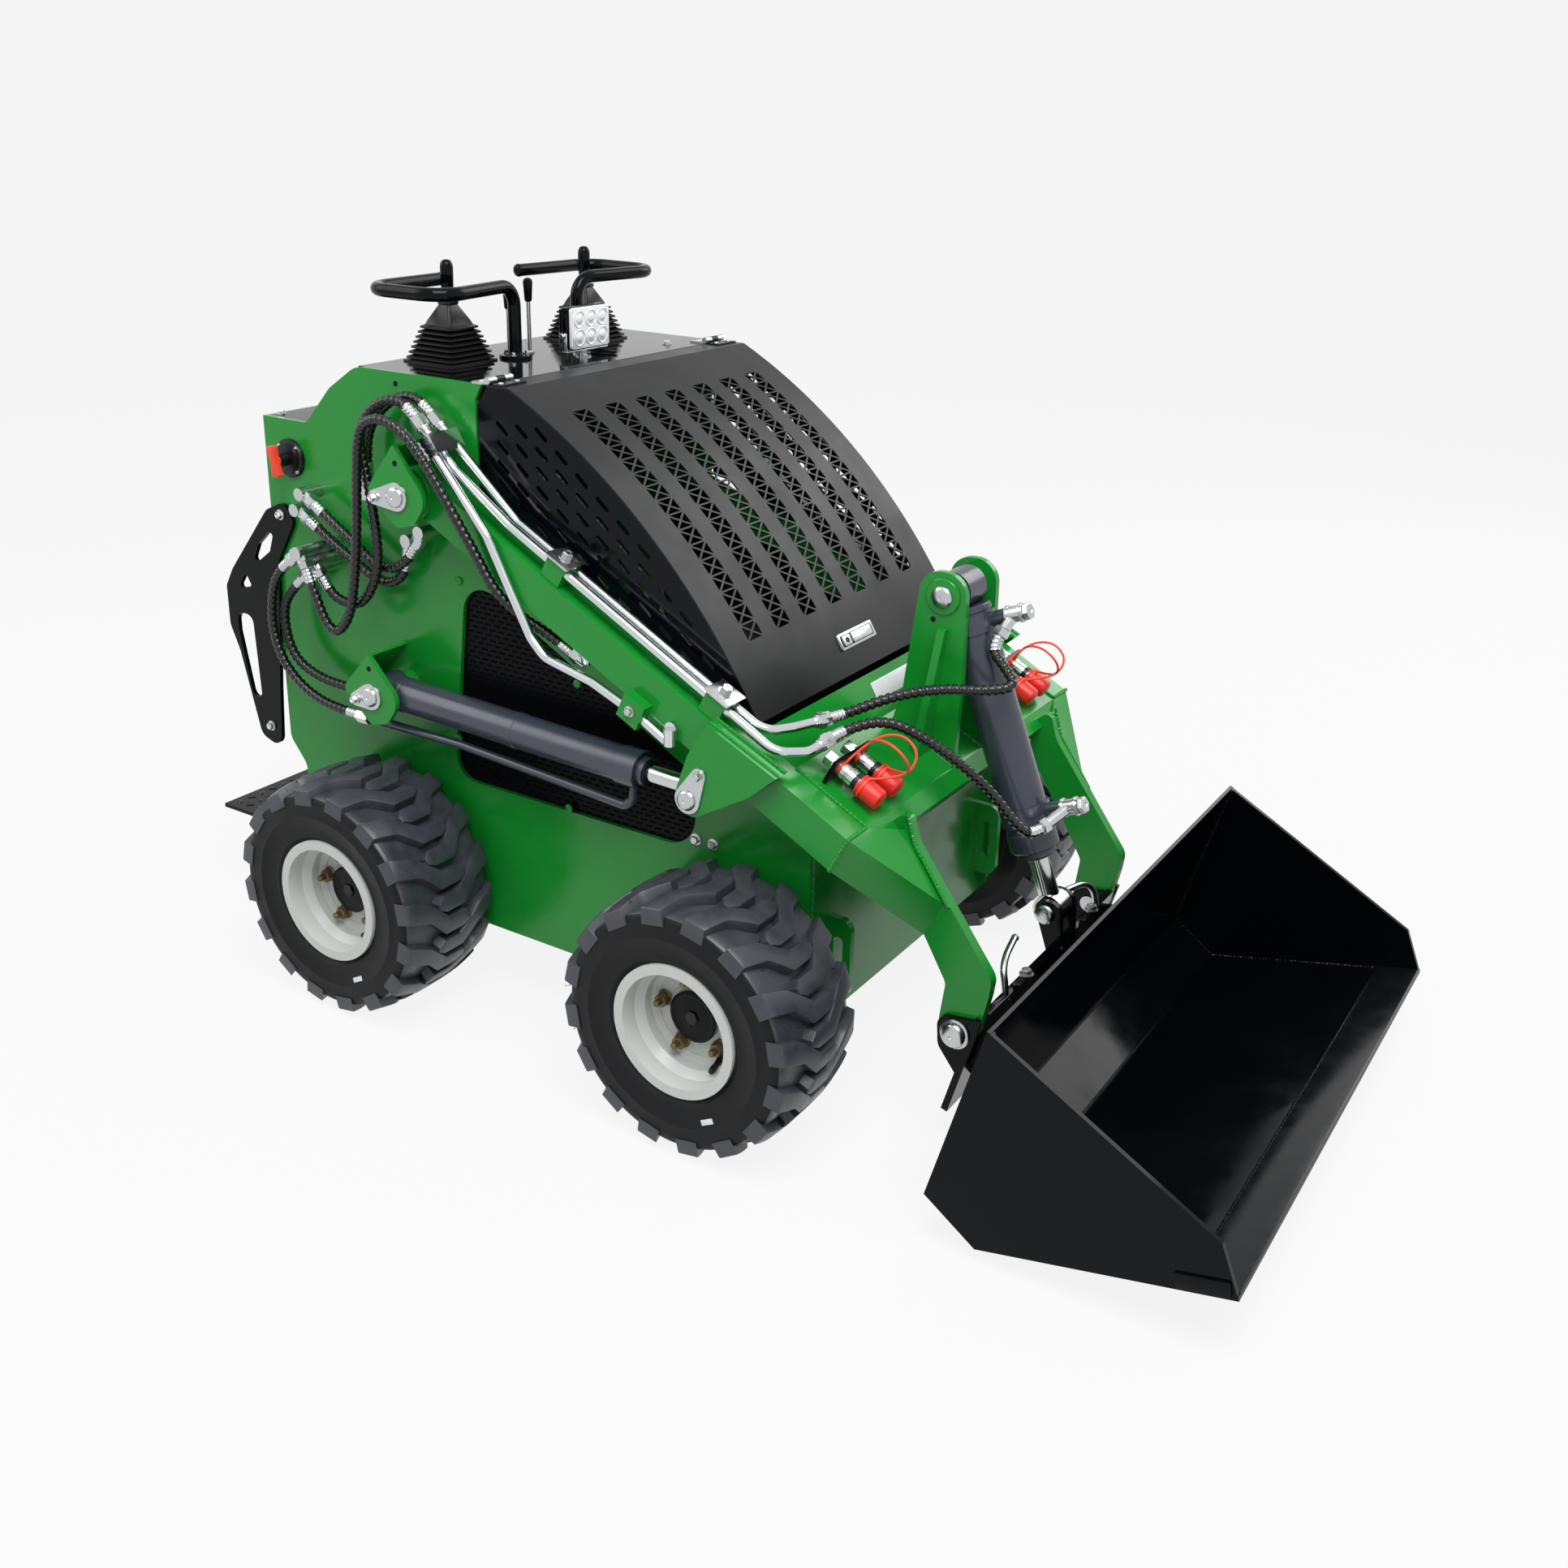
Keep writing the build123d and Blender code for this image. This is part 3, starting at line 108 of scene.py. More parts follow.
def node(tree, kind, inputs=(), **settings):
    """Adds a shader node, sets its properties, then its input values or links."""
    made = tree.nodes.new("ShaderNode" + kind)
    for name, value in settings.items():
        setattr(made, name, value)
    for name, value in dict(inputs).items():
        if isinstance(value, bpy.types.NodeSocket):
            tree.links.new(value, made.inputs[name])
        else:
            made.inputs[name].default_value = value
    return made


def material(name, base, roughness, metallic=0.0, coat=0.0, variation=0.12, grain=0.0, grain_scale=400.0,
             spread=0.08, cloud=9.0, second=None, specular=0.5):
    """Principled surface with cloudy colour and roughness and a fine grain in its bump.
    With second, the clouds run between the two colours."""
    made = bpy.data.materials.new(name)
    made.use_nodes = True
    tree = made.node_tree
    shader = tree.nodes["Principled BSDF"]
    place = node(tree, "TexCoord").outputs["Object"]
    clouds = node(tree, "TexNoise", {"Vector": place, "Scale": cloud, "Detail": 6.0, "Roughness": 0.6})
    dark = tuple(c * (1 - variation) for c in colour(base)[:3]) + (1.0,)
    light = tuple(min(1.0, c * (1 + variation)) for c in colour(second or base)[:3]) + (1.0,)
    mixed = node(tree, "Mix", {"Factor": clouds.outputs["Fac"], "A": dark, "B": light}, data_type="RGBA")
    tree.links.new(mixed.outputs["Result"], shader.inputs["Base Color"])
    rough = node(tree, "MapRange", {"Value": clouds.outputs["Fac"], "From Min": 0.3, "From Max": 0.7,
                                    "To Min": max(0.02, roughness - spread), "To Max": roughness + spread})
    tree.links.new(rough.outputs["Result"], shader.inputs["Roughness"])
    shader.inputs["Metallic"].default_value = metallic
    shader.inputs["Coat Weight"].default_value = coat
    shader.inputs["Coat Roughness"].default_value = 0.06
    shader.inputs["Specular IOR Level"].default_value = specular
    if grain:
        fine = node(tree, "TexNoise", {"Vector": place, "Scale": grain_scale, "Detail": 4.0})
        bump = node(tree, "Bump", {"Height": fine.outputs["Fac"], "Strength": grain, "Distance": 0.001})
        tree.links.new(bump.outputs["Normal"], shader.inputs["Normal"])
    return made


def slotted_panel(name):
    """Gloss black sheet with staggered rows of small horizontal dashes cut through it, the dashes painted
    near black as the shade inside the holes.
    """
    made = material(name, "08090B", 0.22, variation=0.2, specular=0.06)
    tree = made.node_tree
    shader = tree.nodes["Principled BSDF"]
    place = node(tree, "TexCoord").outputs["Object"]
    axes = node(tree, "SeparateXYZ", {"Vector": place})
    row = node(tree, "Math", {0: axes.outputs["Z"], 1: 0.0095}, operation="DIVIDE")
    row_index = node(tree, "Math", {0: row.outputs[0]}, operation="FLOOR")
    shift = node(tree, "Math", {0: row_index.outputs[0], 1: 0.5}, operation="MULTIPLY")
    along = node(tree, "Math", {0: axes.outputs["X"], 1: 0.020}, operation="DIVIDE")
    moved = node(tree, "Math", {0: along.outputs[0], 1: shift.outputs[0]}, operation="ADD")
    in_row = node(tree, "Math", {0: row.outputs[0]}, operation="FRACT")
    in_cell = node(tree, "Math", {0: moved.outputs[0]}, operation="FRACT")
    tall = node(tree, "Math", {0: in_row.outputs[0], 1: 0.33}, operation="LESS_THAN")
    long = node(tree, "Math", {0: in_cell.outputs[0], 1: 0.65}, operation="LESS_THAN")
    dash = node(tree, "Math", {0: tall.outputs[0], 1: long.outputs[0]}, operation="MULTIPLY")
    # The near black in the dashes is painted shade inside the slot holes
    cut = node(tree, "Mix", {"Factor": dash.outputs[0], "A": colour("0C0D10"), "B": colour("010101")},
               data_type="RGBA")
    tree.links.new(cut.outputs["Result"], shader.inputs["Base Color"])
    shine = node(tree, "MapRange", {"Value": dash.outputs[0], "To Min": 0.26, "To Max": 0.95})
    tree.links.new(shine.outputs["Result"], shader.inputs["Roughness"])
    sunk = node(tree, "Bump", {"Height": dash.outputs[0], "Strength": 0.8, "Distance": 0.002}, invert=True)
    tree.links.new(sunk.outputs["Normal"], shader.inputs["Normal"])
    return made


green_paint = material("Green powder coat", "128A2B", 0.2, grain=0.08, grain_scale=160, variation=0.05,
                       specular=0.4)
gloss_black = material("Gloss black paint", "05070A", 0.12, grain=0.03, grain_scale=60, variation=0.25,
                       specular=0.13)
deck_black = material("Polished black deck paint", "08090B", 0.07, grain=0.02, grain_scale=40,
                      variation=0.25, specular=0.5)
cheek_black = material("Blue black gloss paint", "05070E", 0.12, grain=0.03, grain_scale=60, variation=0.25,
                       specular=0.14)
satin_black = material("Charcoal satin powder coat", "121315", 0.36, grain=0.2, grain_scale=900,
                       variation=0.08, specular=0.22)
slate_paint = material("Slate grey cylinder enamel", "343945", 0.24, grain=0.1, variation=0.1, specular=0.6)
chrome = material("Hard chrome", "C8CACC", 0.12, metallic=1.0, variation=0.03, spread=0.04)
zinc = material("Zinc plated steel", "C2C5C6", 0.24, metallic=1.0, grain=0.05, grain_scale=300, spread=0.08,
                cloud=30,
                variation=0.08)
polished_zinc = material("Bright zinc pipe", "CFD3D6", 0.16, metallic=1.0, variation=0.04, spread=0.04)
bronze = material("Dull bronze wheel nuts", "7A6A4C", 0.42, metallic=0.9, grain=0.3, grain_scale=500,
                  cloud=60)
rim_paint = material("Light grey rim enamel", "C9CCC8", 0.34, grain=0.05, variation=0.04)
tyre_rubber = material("Tyre sidewall rubber", "0A0B0E", 0.5, grain=0.2, grain_scale=700, variation=0.15,
                       specular=0.22)
# Tread rubber in a lighter bluish grey, its cloud running up to a paler grey: a painted sheen on the tread,
# not the rubber's own black
tread_rubber_painted_sheen = material("Tyre tread rubber with painted sheen", "282A31", 0.4, grain=0.25, grain_scale=300, variation=0.2,
                        second="3E4048", cloud=30,
                        specular=0.55)
soft_rubber = material("Moulded black rubber", "08080A", 0.36, grain=0.15, grain_scale=300, variation=0.15,
                       specular=0.35)
guard_plastic = material("Spiral hose guard", "08080A", 0.22, grain=0.1, grain_scale=300, variation=0.2)
foam_vinyl = material("Pad vinyl", "161618", 0.5, grain=0.4, grain_scale=1200)
engine_iron = material("Dark engine castings", "2A2B2D", 0.6, grain=0.4)
cap_red = material("Red soft plastic", "E0281E", 0.38, variation=0.06, grain=0.05)
tether_red = material("Red orange tether cord", "F0462A", 0.42, variation=0.05)
switch_orange = material("Orange red moulding", "E8442A", 0.4, variation=0.05)
label_white = material("Plain pale label stock", "DDE2E4", 0.3, coat=0.3, variation=0.03)
lens_glass = material("Lamp lens reflector", "E9ECEE", 0.18, metallic=0.35, coat=0.8, variation=0.04)
worn_steel = material("Blackened cutting edge", "0A0B0D", 0.2, grain=0.1, cloud=20, second="15171A",
                      specular=0.35)
panel_black = slotted_panel("Slotted gloss black sheet")

BY_SLOT = {
    "green_paint": green_paint, "black_paint": gloss_black, "cylinder_grey": slate_paint,
    "chrome_rod": chrome,
    "zinc_steel": zinc, "rim_white": rim_paint, "tyre_rubber": tyre_rubber, "rubber_black": soft_rubber,
    "foam_pad": foam_vinyl, "engine_grey": engine_iron, "hose_black": soft_rubber, "cap_red": cap_red,
}
BY_NODE = {"hood": satin_black, "hood_cheeks": cheek_black, "side_grilles": panel_black, "deck": deck_black,
           "steel_lines": polished_zinc, "line_ends": polished_zinc}
for part in frame["record"]["subparts"]:
    name = part["node"]
    nodes[name].data.materials.clear()
    nodes[name].data.materials.append(BY_NODE.get(name, BY_SLOT[part["material_slot"]]))


# ---------------------------------------------------------------- places
def world(x, y, z):
    """Metres in the model's frame from millimetres off the front axle."""
    return Vector((x + AXLE_X, y, z)) * MM


def stand(spot, up=UP, ahead=AHEAD):
    """Millimetre frame at a spot, with its Z along up and its X near ahead."""
    z = Vector(up).normalized()
    y = z.cross(Vector(ahead)).normalized()
    turn = Matrix((y.cross(z), y, z)).transposed().to_4x4()
    return Matrix.Translation(world(*spot)) @ turn @ Matrix.Scale(MM, 4)


def mirrored(point, side):
    """A right-hand (-Y) point, or its mirror image on the left for side 1."""
    return (point[0], -side * point[1], point[2])


def arm_top(x):
    return ARM_KINK[1] + (ARM_KINK[0] - x) * math.tan(ARM_SLOPE)


def on_hood(distance, y=0.0):
    """Frame on the hood's curved top at a distance from where the curve starts: X across, Y up the slope."""
    chord = Vector(HOOD_END) - Vector(HOOD_TOP)
    radius = (chord.length ** 2 / 4 + HOOD_BULGE ** 2) / (2 * HOOD_BULGE)
    out = Vector((-chord.y, chord.x)).normalized()
    centre = (Vector(HOOD_TOP) + Vector(HOOD_END)) / 2 - out * (radius - HOOD_BULGE)
    start = math.atan2(HOOD_TOP[1] - centre.y, HOOD_TOP[0] - centre.x)
    angle = start - distance / radius
    normal = (math.cos(angle), 0, math.sin(angle))
    return stand((centre.x + radius * normal[0], y, centre.y + radius * normal[2]), normal, LEFT)


# ---------------------------------------------------------------- shapes, in their own millimetre frames
def finished(mesh):
    bmesh.ops.remove_doubles(mesh, verts=mesh.verts, dist=1e-5)
    bmesh.ops.recalc_face_normals(mesh, faces=mesh.faces)
    return mesh


def turned(profile, sides=24):
    """Profile of (radius, height) points turned about Z; radius 0 closes an end."""
    mesh = bmesh.new()
    verts = [mesh.verts.new((r, 0, h)) for r, h in profile]
    edges = [mesh.edges.new(pair) for pair in zip(verts, verts[1:])]
    bmesh.ops.spin(mesh, geom=verts + edges, cent=(0, 0, 0), axis=(0, 0, 1), angle=math.tau, steps=sides,
                   use_merge=True)
    return finished(mesh)


def plate(corners, thickness, bevel=0.8):
    """Flat plate with an outline of (x, y) corners, its top edge rounded over."""
    mesh = bmesh.new()
    face = mesh.faces.new([mesh.verts.new((x, y, 0)) for x, y in corners])
    risen = bmesh.ops.extrude_face_region(mesh, geom=[face])["geom"]
    top = [item for item in risen if isinstance(item, bmesh.types.BMVert)]
    bmesh.ops.translate(mesh, verts=top, vec=(0, 0, thickness))
    if bevel:
        rim = [e for e in mesh.edges if all(v in top for v in e.verts)]
        bmesh.ops.bevel(mesh, geom=rim, offset=bevel, segments=2, profile=0.5, affect="EDGES", material=-1)
    return finished(mesh)


def cuboid(x, y, z, bevel=1.0, segments=2):
    """Box with rounded edges, standing on its frame's XY plane."""
    mesh = bmesh.new()
    bmesh.ops.create_cube(mesh, size=1.0)
    bmesh.ops.scale(mesh, vec=(x, y, z), verts=mesh.verts)
    bmesh.ops.translate(mesh, vec=(0, 0, z / 2), verts=mesh.verts)
    bmesh.ops.bevel(mesh, geom=mesh.edges, offset=bevel, segments=segments, profile=0.5, affect="EDGES",
                    material=-1)
    return finished(mesh)


def round_corners(corners, radius, steps=5):
    """Outline with each (x, y) corner swept as an arc."""
    swept = []
    for i, corner in enumerate(corners):
        here = Vector(corner)
        back = (Vector(corners[i - 1]) - here).normalized()
        on = (Vector(corners[(i + 1) % len(corners)]) - here).normalized()
        for k in range(steps + 1):
            t = k / steps
            swept.append(here + back * radius * (1 - t) ** 2 + on * radius * t ** 2)
    return [tuple(p) for p in swept]


def teardrop(far, big, small, steps=12):
    """Keeper plate outline: a big end at the origin and a small end at far on X."""
    lean = math.acos((big - small) / far)
    corners = [(big * math.cos(a), big * math.sin(a))
               for a in (lean + (math.tau - 2 * lean) * i / steps for i in range(steps + 1))]
    corners += [(far + small * math.cos(a), small * math.sin(a))
                for a in (-lean + 2 * lean * i / steps for i in range(steps + 1))]
    return corners


def route_line(points, smooth=True, radius=0.0):
    """Mesh of the curve that the route's points control: a bare line, or a tube where it has a radius."""
    curve = bpy.data.curves.new("route", "CURVE")
    curve.dimensions = "3D"
    spline = curve.splines.new("NURBS" if smooth else "POLY")
    spline.points.add(len(points) - 1)
    for control, point in zip(spline.points, points):
        control.co = (*world(*point), 1.0)
    spline.order_u = 3
    spline.use_endpoint_u = True
    spline.resolution_u = 12
    curve.bevel_depth = radius * MM
    curve.bevel_resolution = 3
    curve.use_fill_caps = True
    holder = bpy.data.objects.new("route", curve)
    bpy.context.scene.collection.objects.link(holder)
    bpy.context.view_layer.update()
    data = bpy.data.meshes.new_from_object(holder)
    bpy.data.objects.remove(holder)
    bpy.data.curves.remove(curve)
    return data


def tube(points, radius, smooth=True):
    """Round tube along a route, already in place."""
    data = route_line(points, smooth, radius)
    mesh = bmesh.new()
    mesh.from_mesh(data)
    bpy.data.meshes.remove(data)
    return finished(mesh)


def even_points(points, step, smooth=True):
    """Points a step apart in millimetres along a route's spline."""
    data = route_line(points, smooth)
    line = [v.co.copy() for v in data.vertices]
    bpy.data.meshes.remove(data)
    lengths = [0.0]
    for a, b in zip(line, line[1:]):
        lengths.append(lengths[-1] + (b - a).length)
    count = max(2, round(lengths[-1] / (step * MM)))
    even, k = [], 0
    for i in range(count + 1):
        wanted = lengths[-1] * i / count
        while k < len(line) - 2 and lengths[k + 1] < wanted:
            k += 1
        even.append(line[k].lerp(line[k + 1], (wanted - lengths[k]) / max(lengths[k + 1] - lengths[k], 1e-9)))
    return even


def shaped_tube(line, radius_at, sides=14):
    """Tube along points in metres; radius_at(distance, turn) gives its radius in millimetres."""
    mesh = bmesh.new()
    normal = (line[1] - line[0]).orthogonal().normalized()
    last, distance = None, 0.0
    for i, point in enumerate(line):
        before, after = line[max(i - 1, 0)], line[min(i + 1, len(line) - 1)]
        tangent = (after - before).normalized()
        normal = (normal - tangent * normal.dot(tangent)).normalized()
        side = tangent.cross(normal)
        distance += (point - line[i - 1]).length / MM if i else 0.0
        ring = []
        for k in range(sides):
            turn = k / sides
            out = normal * math.cos(math.tau * turn) + side * math.sin(math.tau * turn)
            ring.append(mesh.verts.new(point + out * radius_at(distance, turn) * MM))
        if last:
            for k in range(sides):
                mesh.faces.new((last[k], last[k - 1], ring[k - 1], ring[k]))
        else:
            mesh.faces.new(ring)
        last = ring
    mesh.faces.new(last[::-1])
    return finished(mesh)


class Piece:
    """A new piece of the scene, gathered from shapes and made into one object."""

    def __init__(self, name, *materials):
        self.name, self.materials, self.mesh = name, materials, bmesh.new()

    def add(self, shape, place=None, finish=0):
        """Adds a shape in a millimetre frame, or in place where none is given."""
        if place is not None:
            shape.transform(place)
        for face in shape.faces:
            face.material_index = finish
        data = bpy.data.meshes.new("shape")
        shape.to_mesh(data)
        shape.free()
        self.mesh.from_mesh(data)
        bpy.data.meshes.remove(data)

    def done(self, body=None, replaces=(), smooth=38):
        data = bpy.data.meshes.new(self.name)
        self.mesh.to_mesh(data)
        self.mesh.free()
        for finish in self.materials:
            data.materials.append(finish)
        data.polygons.foreach_set("use_smooth", [True] * len(data.polygons))
        data.set_sharp_from_angle(angle=math.radians(smooth))
        made = bpy.data.objects.new(self.name, data)
        bpy.context.scene.collection.objects.link(made)
        if body:
            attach(made, body)
        if replaces:
            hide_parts(*replaces)
        return made


# ---------------------------------------------------------------- small hardware
def add_bolt(piece, place, across=16.0, height=8.0, finish=0):
    """Hex bolt head on a washer, its top chamfered and dished."""
    piece.add(turned([(0, 0), (across * 0.78, 0), (across * 0.78, 1.6), (0, 1.6)], 20), place, finish)
    r = across / math.sqrt(3)
    piece.add(turned([(0, 1.6), (r, 1.6), (r, height - 1.2), (r * 0.86, height), (r * 0.5, height),
                      (r * 0.42, height - 0.8),
                      (0, height - 0.8)], 6), place, finish)


def add_dome(piece, place, radius, height, finish=0):
    """Domed head with a small dimple."""
    profile = [(0, 0), (radius, 0), (radius, height * 0.35), (radius * 0.93, height * 0.65),
               (radius * 0.72, height * 0.9),
               (radius * 0.4, height), (radius * 0.16, height), (radius * 0.12, height - 1.2),
               (0, height - 1.2)]
    piece.add(turned(profile, 28), place, finish)


def add_bead(piece, points, radius=3.2, finish=0):
    """Weld bead with its ripples, along straight runs."""
    line = even_points(points, 1.6, smooth=False)

    def wave(distance, turn):
        ripple = 0.16 * math.sin(distance * 2.4)
        drift = 0.08 * math.sin(distance * 0.9 + 4 * turn)
        return radius * (1 + ripple + drift)

    piece.add(shaped_tube(line, wave, 8), None, finish)


# ---------------------------------------------------------------- wheels
LUG_EDGES = {  # y from the wheel's middle and turn in degrees, from the shoulder to the inner tip
    "upper": [(-105, 19), (-60, 14.5), (-12, 3.8), (26, 3.8), (38, 0.8)],
    "lower": [(38, -1.8), (22, -4), (-25, -4), (-60, 5), (-105, 8.5)],
}
TYRE_R = AXLE_Z
LUGS = 16
LUG_RISE = 30.0
TREAD_FOOT = TYRE_R - LUG_RISE


def crown(y):
    """Lug's top radius, which falls towards the shoulders."""
    return TYRE_R - 11 * (abs(y) / 105) ** 3


def lug_middle(y):
    """Centre line of a lug, in radians."""
    if y < -18:
        return math.radians(13.7 * min(1.0, (-18 - y) / 80))
    return 0.0


def lug(turn, mirror):
    """One tread bar, cut flat and then wrapped round the wheel's Y axis."""
    outline = [(math.radians(a) * TYRE_R, y) for y, a in LUG_EDGES["upper"] + LUG_EDGES["lower"]]
    mesh = plate(outline, LUG_RISE, 2.4)
    for y in range(-95, 30, 14):
        everything = mesh.verts[:] + mesh.edges[:] + mesh.faces[:]
        bmesh.ops.bisect_plane(mesh, geom=everything, plane_co=(0, y, 0), plane_no=(0, 1, 0))
    for vert in mesh.verts:
        angle, y, share = vert.co.x / TYRE_R, vert.co.y, vert.co.z / LUG_RISE
        flare = 4.2 * (1 - share) ** 1.5 / TYRE_R
        angle += turn + math.copysign(flare, angle - lug_middle(y))
        foot = TREAD_FOOT - 8 * (abs(y) / 105) ** 4
        radius = foot + (crown(y) - foot) * share
        vert.co = (radius * math.cos(angle), y * mirror * (1 + 0.012 * (1 - share)), radius * math.sin(angle))
    return finished(mesh)


def build_wheel(end, x, side):
    """Tyre with its lugs and moulding hairs, then the rim's nuts, hub cap and valve."""
    suffix = end + ("_right" if side < 0 else "_left")
    place = Matrix.Translation(world(x, side * TRACK_HALF, AXLE_Z)) @ Matrix.Diagonal((MM, -side * MM, MM, 1))
    round_y = place @ Matrix.Rotation(math.radians(90), 4, "X")
    tyre = Piece("tyre_detail_" + suffix, tyre_rubber, label_white, tread_rubber_painted_sheen)
    half = [(112, 86), (117, 92), (124, 95.5), (126, 97.5), (129, 97.5), (131, 97), (146, 101.5),
            (160, 104), (163, 105.4),
            (166, 105.4), (168, 104.6), (186, 104.8), (196, 103.4), (202, 100), (205, 93), (206, 80),
            (206, 55), (206, 20)]
    whole = half + [(r, -h) for r, h in reversed(half)]
    tyre.add(turned(whole + whole[:1], 96), round_y)
    middle = world(x, side * TRACK_HALF, AXLE_Z)
    # The carcass crown past 199 mm takes the tread finish, so it carries the same painted sheen
    for face in tyre.mesh.faces:
        spot = face.calc_center_median() - middle
        if math.hypot(spot.x, spot.z) > 199 * MM:
            face.material_index = 2
    pitch = math.tau / LUGS
    start = math.radians(-93.9)
    for i in range(LUGS):
        tyre.add(lug(start + pitch * i, 1), place, 2)
        tyre.add(lug(start + pitch * (i + 0.5), -1), place, 2)
    for _ in range(46):
        angle, y = random.uniform(0, math.tau), random.choice((-1, 1)) * random.uniform(40, 103)
        root = crown(y) - 1.5
        hair = bmesh.new()
        bmesh.ops.create_cone(hair, segments=3, radius1=0.8, radius2=0.3, depth=6, cap_ends=True)
        tyre.add(hair, place @ Matrix.Translation((root * math.cos(angle), y, root * math.sin(angle)))
                 @ Matrix.Rotation(math.pi / 2 - angle, 4, "Y"))
    tag = place @ Matrix.Rotation(math.radians(62), 4, "Y") @ Matrix.Translation((153, -101.6, 0))
    tag = tag @ Matrix.Rotation(math.radians(90), 4, "X") @ Matrix.Rotation(math.radians(-10), 4, "Y")
    tyre.add(cuboid(9, 24, 2.6, 0.3), tag, 1)
    tyre.done("wheel_" + suffix, ["tyre_" + suffix])

    trim = Piece("wheel_hardware_" + suffix, bronze, gloss_black, soft_rubber, rim_paint)
    face = place @ Matrix.Translation((0, -29, 0)) @ Matrix.Rotation(math.radians(90), 4, "X")
    for i in range(5):
        spot = face @ Matrix.Rotation(math.tau * (i + 0.38) / 5, 4, "Z") @ Matrix.Translation((64, 0, 0))
        trim.add(turned([(0, 0), (14.5, 0), (14.5, 2), (12.6, 4), (0, 4)], 20), spot)
        trim.add(turned([(0, 4), (12.2, 4), (12.2, 15), (10.4, 17), (0, 17)], 6), spot)
        trim.add(turned([(0, 17), (6, 17), (6, 27), (5, 28.5), (0, 28.5)], 14), spot)
    trim.add(turned([(0, 10), (42, 10), (45, 11), (45, 13.5), (41, 16), (38, 16), (36, 14.5), (20, 15.5),
                     (0, 16)], 36), face, 1)
    trim.add(turned([(0, 15), (13, 15), (13, 18.5), (11, 20), (0, 20)], 6), face, 2)
    trim.add(turned([(44, 0), (52, 0), (52, 2), (50, 4), (44, 4), (44, 0)], 40), face, 3)
    trim.add(turned([(76, -2), (91, -2), (91, 9), (84, 3), (76, 1.5), (76, -2)], 48), face, 3)
    valve = face @ Matrix.Rotation(math.radians(-52), 4, "Z") @ Matrix.Translation((79, 0, 0))
    valve = valve @ Matrix.Rotation(math.radians(12), 4, "Y")
    trim.add(turned([(0, 0), (8.5, 0), (8, 5), (5.4, 9), (4.6, 26), (5.4, 27), (5.4, 38), (4.6, 40),
                     (0, 40)], 16), valve, 2)
    trim.done("wheel_" + suffix)


# ---------------------------------------------------------------- hoses
NEAR_Y = -ARM_OUT + 15
FAR_Y = NEAR_Y + 23
LOW_Y = -ARM_OUT - 9
GUARD_PITCH = 12.0


def between(start, end, distance):
    a = Vector(start)
    return tuple(a + (Vector(end) - a).normalized() * distance)


def line_height(x, rise=0.0):
    return arm_top(x) + 30 + rise


LINE_NEAR = [(-655, NEAR_Y, 1093), (-575, NEAR_Y, 1019)]
LINE_FAR = [(-640, FAR_Y, 1097), (-462, FAR_Y, line_height(-462))]
LINE_NEAR_END = [(104, NEAR_Y + 45, line_height(104, 10)), (112, -300, 664)]
LINE_FAR_END = [(60, FAR_Y + 50, line_height(60, 10)), (84, -262, 680)]
h4_y = NEAR_Y - 7
h3_y = LOW_Y - 5
HOSE_TO_NEAR = [(-911, h4_y, 779), (-892, h4_y, 749), (-849, h4_y, 735), (-804, h4_y, 745), (-766, h4_y, 804),
                (-760, h4_y, 865), (-775, h4_y, 971), (-792, h4_y, 1045), (-768, h4_y, 1094),
                (-726, NEAR_Y, 1120),
                between(*LINE_NEAR, -38), LINE_NEAR[0]]
HOSE_UNDER = [(-926, h3_y, 798), (-909, h3_y, 754), (-886, h3_y, 700), (-857, h3_y, 683), (-827, h3_y, 712),
              (-809, h3_y, 756), (-790, h3_y, 863), (-779, h3_y, 981), (-765, h3_y - 6, 1048),
              (-738, h3_y - 16, 1086),
              (-690, h3_y - 18, 1099), (-640, h3_y - 18, 1080), (-590, h3_y - 18, 1028),
              (-548, h3_y - 12, 960),
              (-508, h3_y, 888), (-472, h3_y + 2, 832), (-432, h3_y + 20, 790), (-380, h3_y + 34, 765),
              (-330, h3_y + 36, 740)]
HOSE_TO_FAR = [(-806, FAR_Y, 968), (-806, FAR_Y, 1022), (-790, FAR_Y, 1068), (-750, FAR_Y, 1106),
               (-706, FAR_Y, 1126),
               between(*LINE_FAR, -36), LINE_FAR[0]]
HOSE_BACK = [
    [(x, NEAR_Y + 13, z) for x, z in ((-942, 905), (-890, 873), (-837, 845), (-802, 819), (-754, 811),
                                      (-709, 834), (-684, 872))],
    [(x, NEAR_Y + 23, z) for x, z in ((-970, 870), (-906, 832), (-852, 808), (-810, 786), (-766, 780),
                                      (-727, 806), (-718, 845))],
]
HOSE_LIFT = [
    [(x, NEAR_Y - 5, z) for x, z in ((-990, 794), (-1028, 767), (-1052, 720), (-1060, 655), (-1043, 597),
                                     (-1006, 557),
                                     (-955, 532), (-898, 522), (-836, 522))],
    [(x, NEAR_Y + 12, z) for x, z in ((-975, 762), (-1027, 719), (-1044, 677), (-1038, 622), (-1014, 586),
                                      (-960, 566),
                                      (-902, 562), (-836, 562))],
]
tilt_run = Vector((TILT_ROD_PIN[0] - TOWER_PIN[0], 0, TILT_ROD_PIN[1] - TOWER_PIN[1])).normalized()
tilt_front = Vector((-tilt_run.z, 0, tilt_run.x))
BANJOS = [Vector((TOWER_PIN[0], 0, TOWER_PIN[1])) + tilt_run * along + tilt_front * 84 for along in (62, 400)]
TILT_ENDS = [(268, -20, 796), (384, -56, 492)]
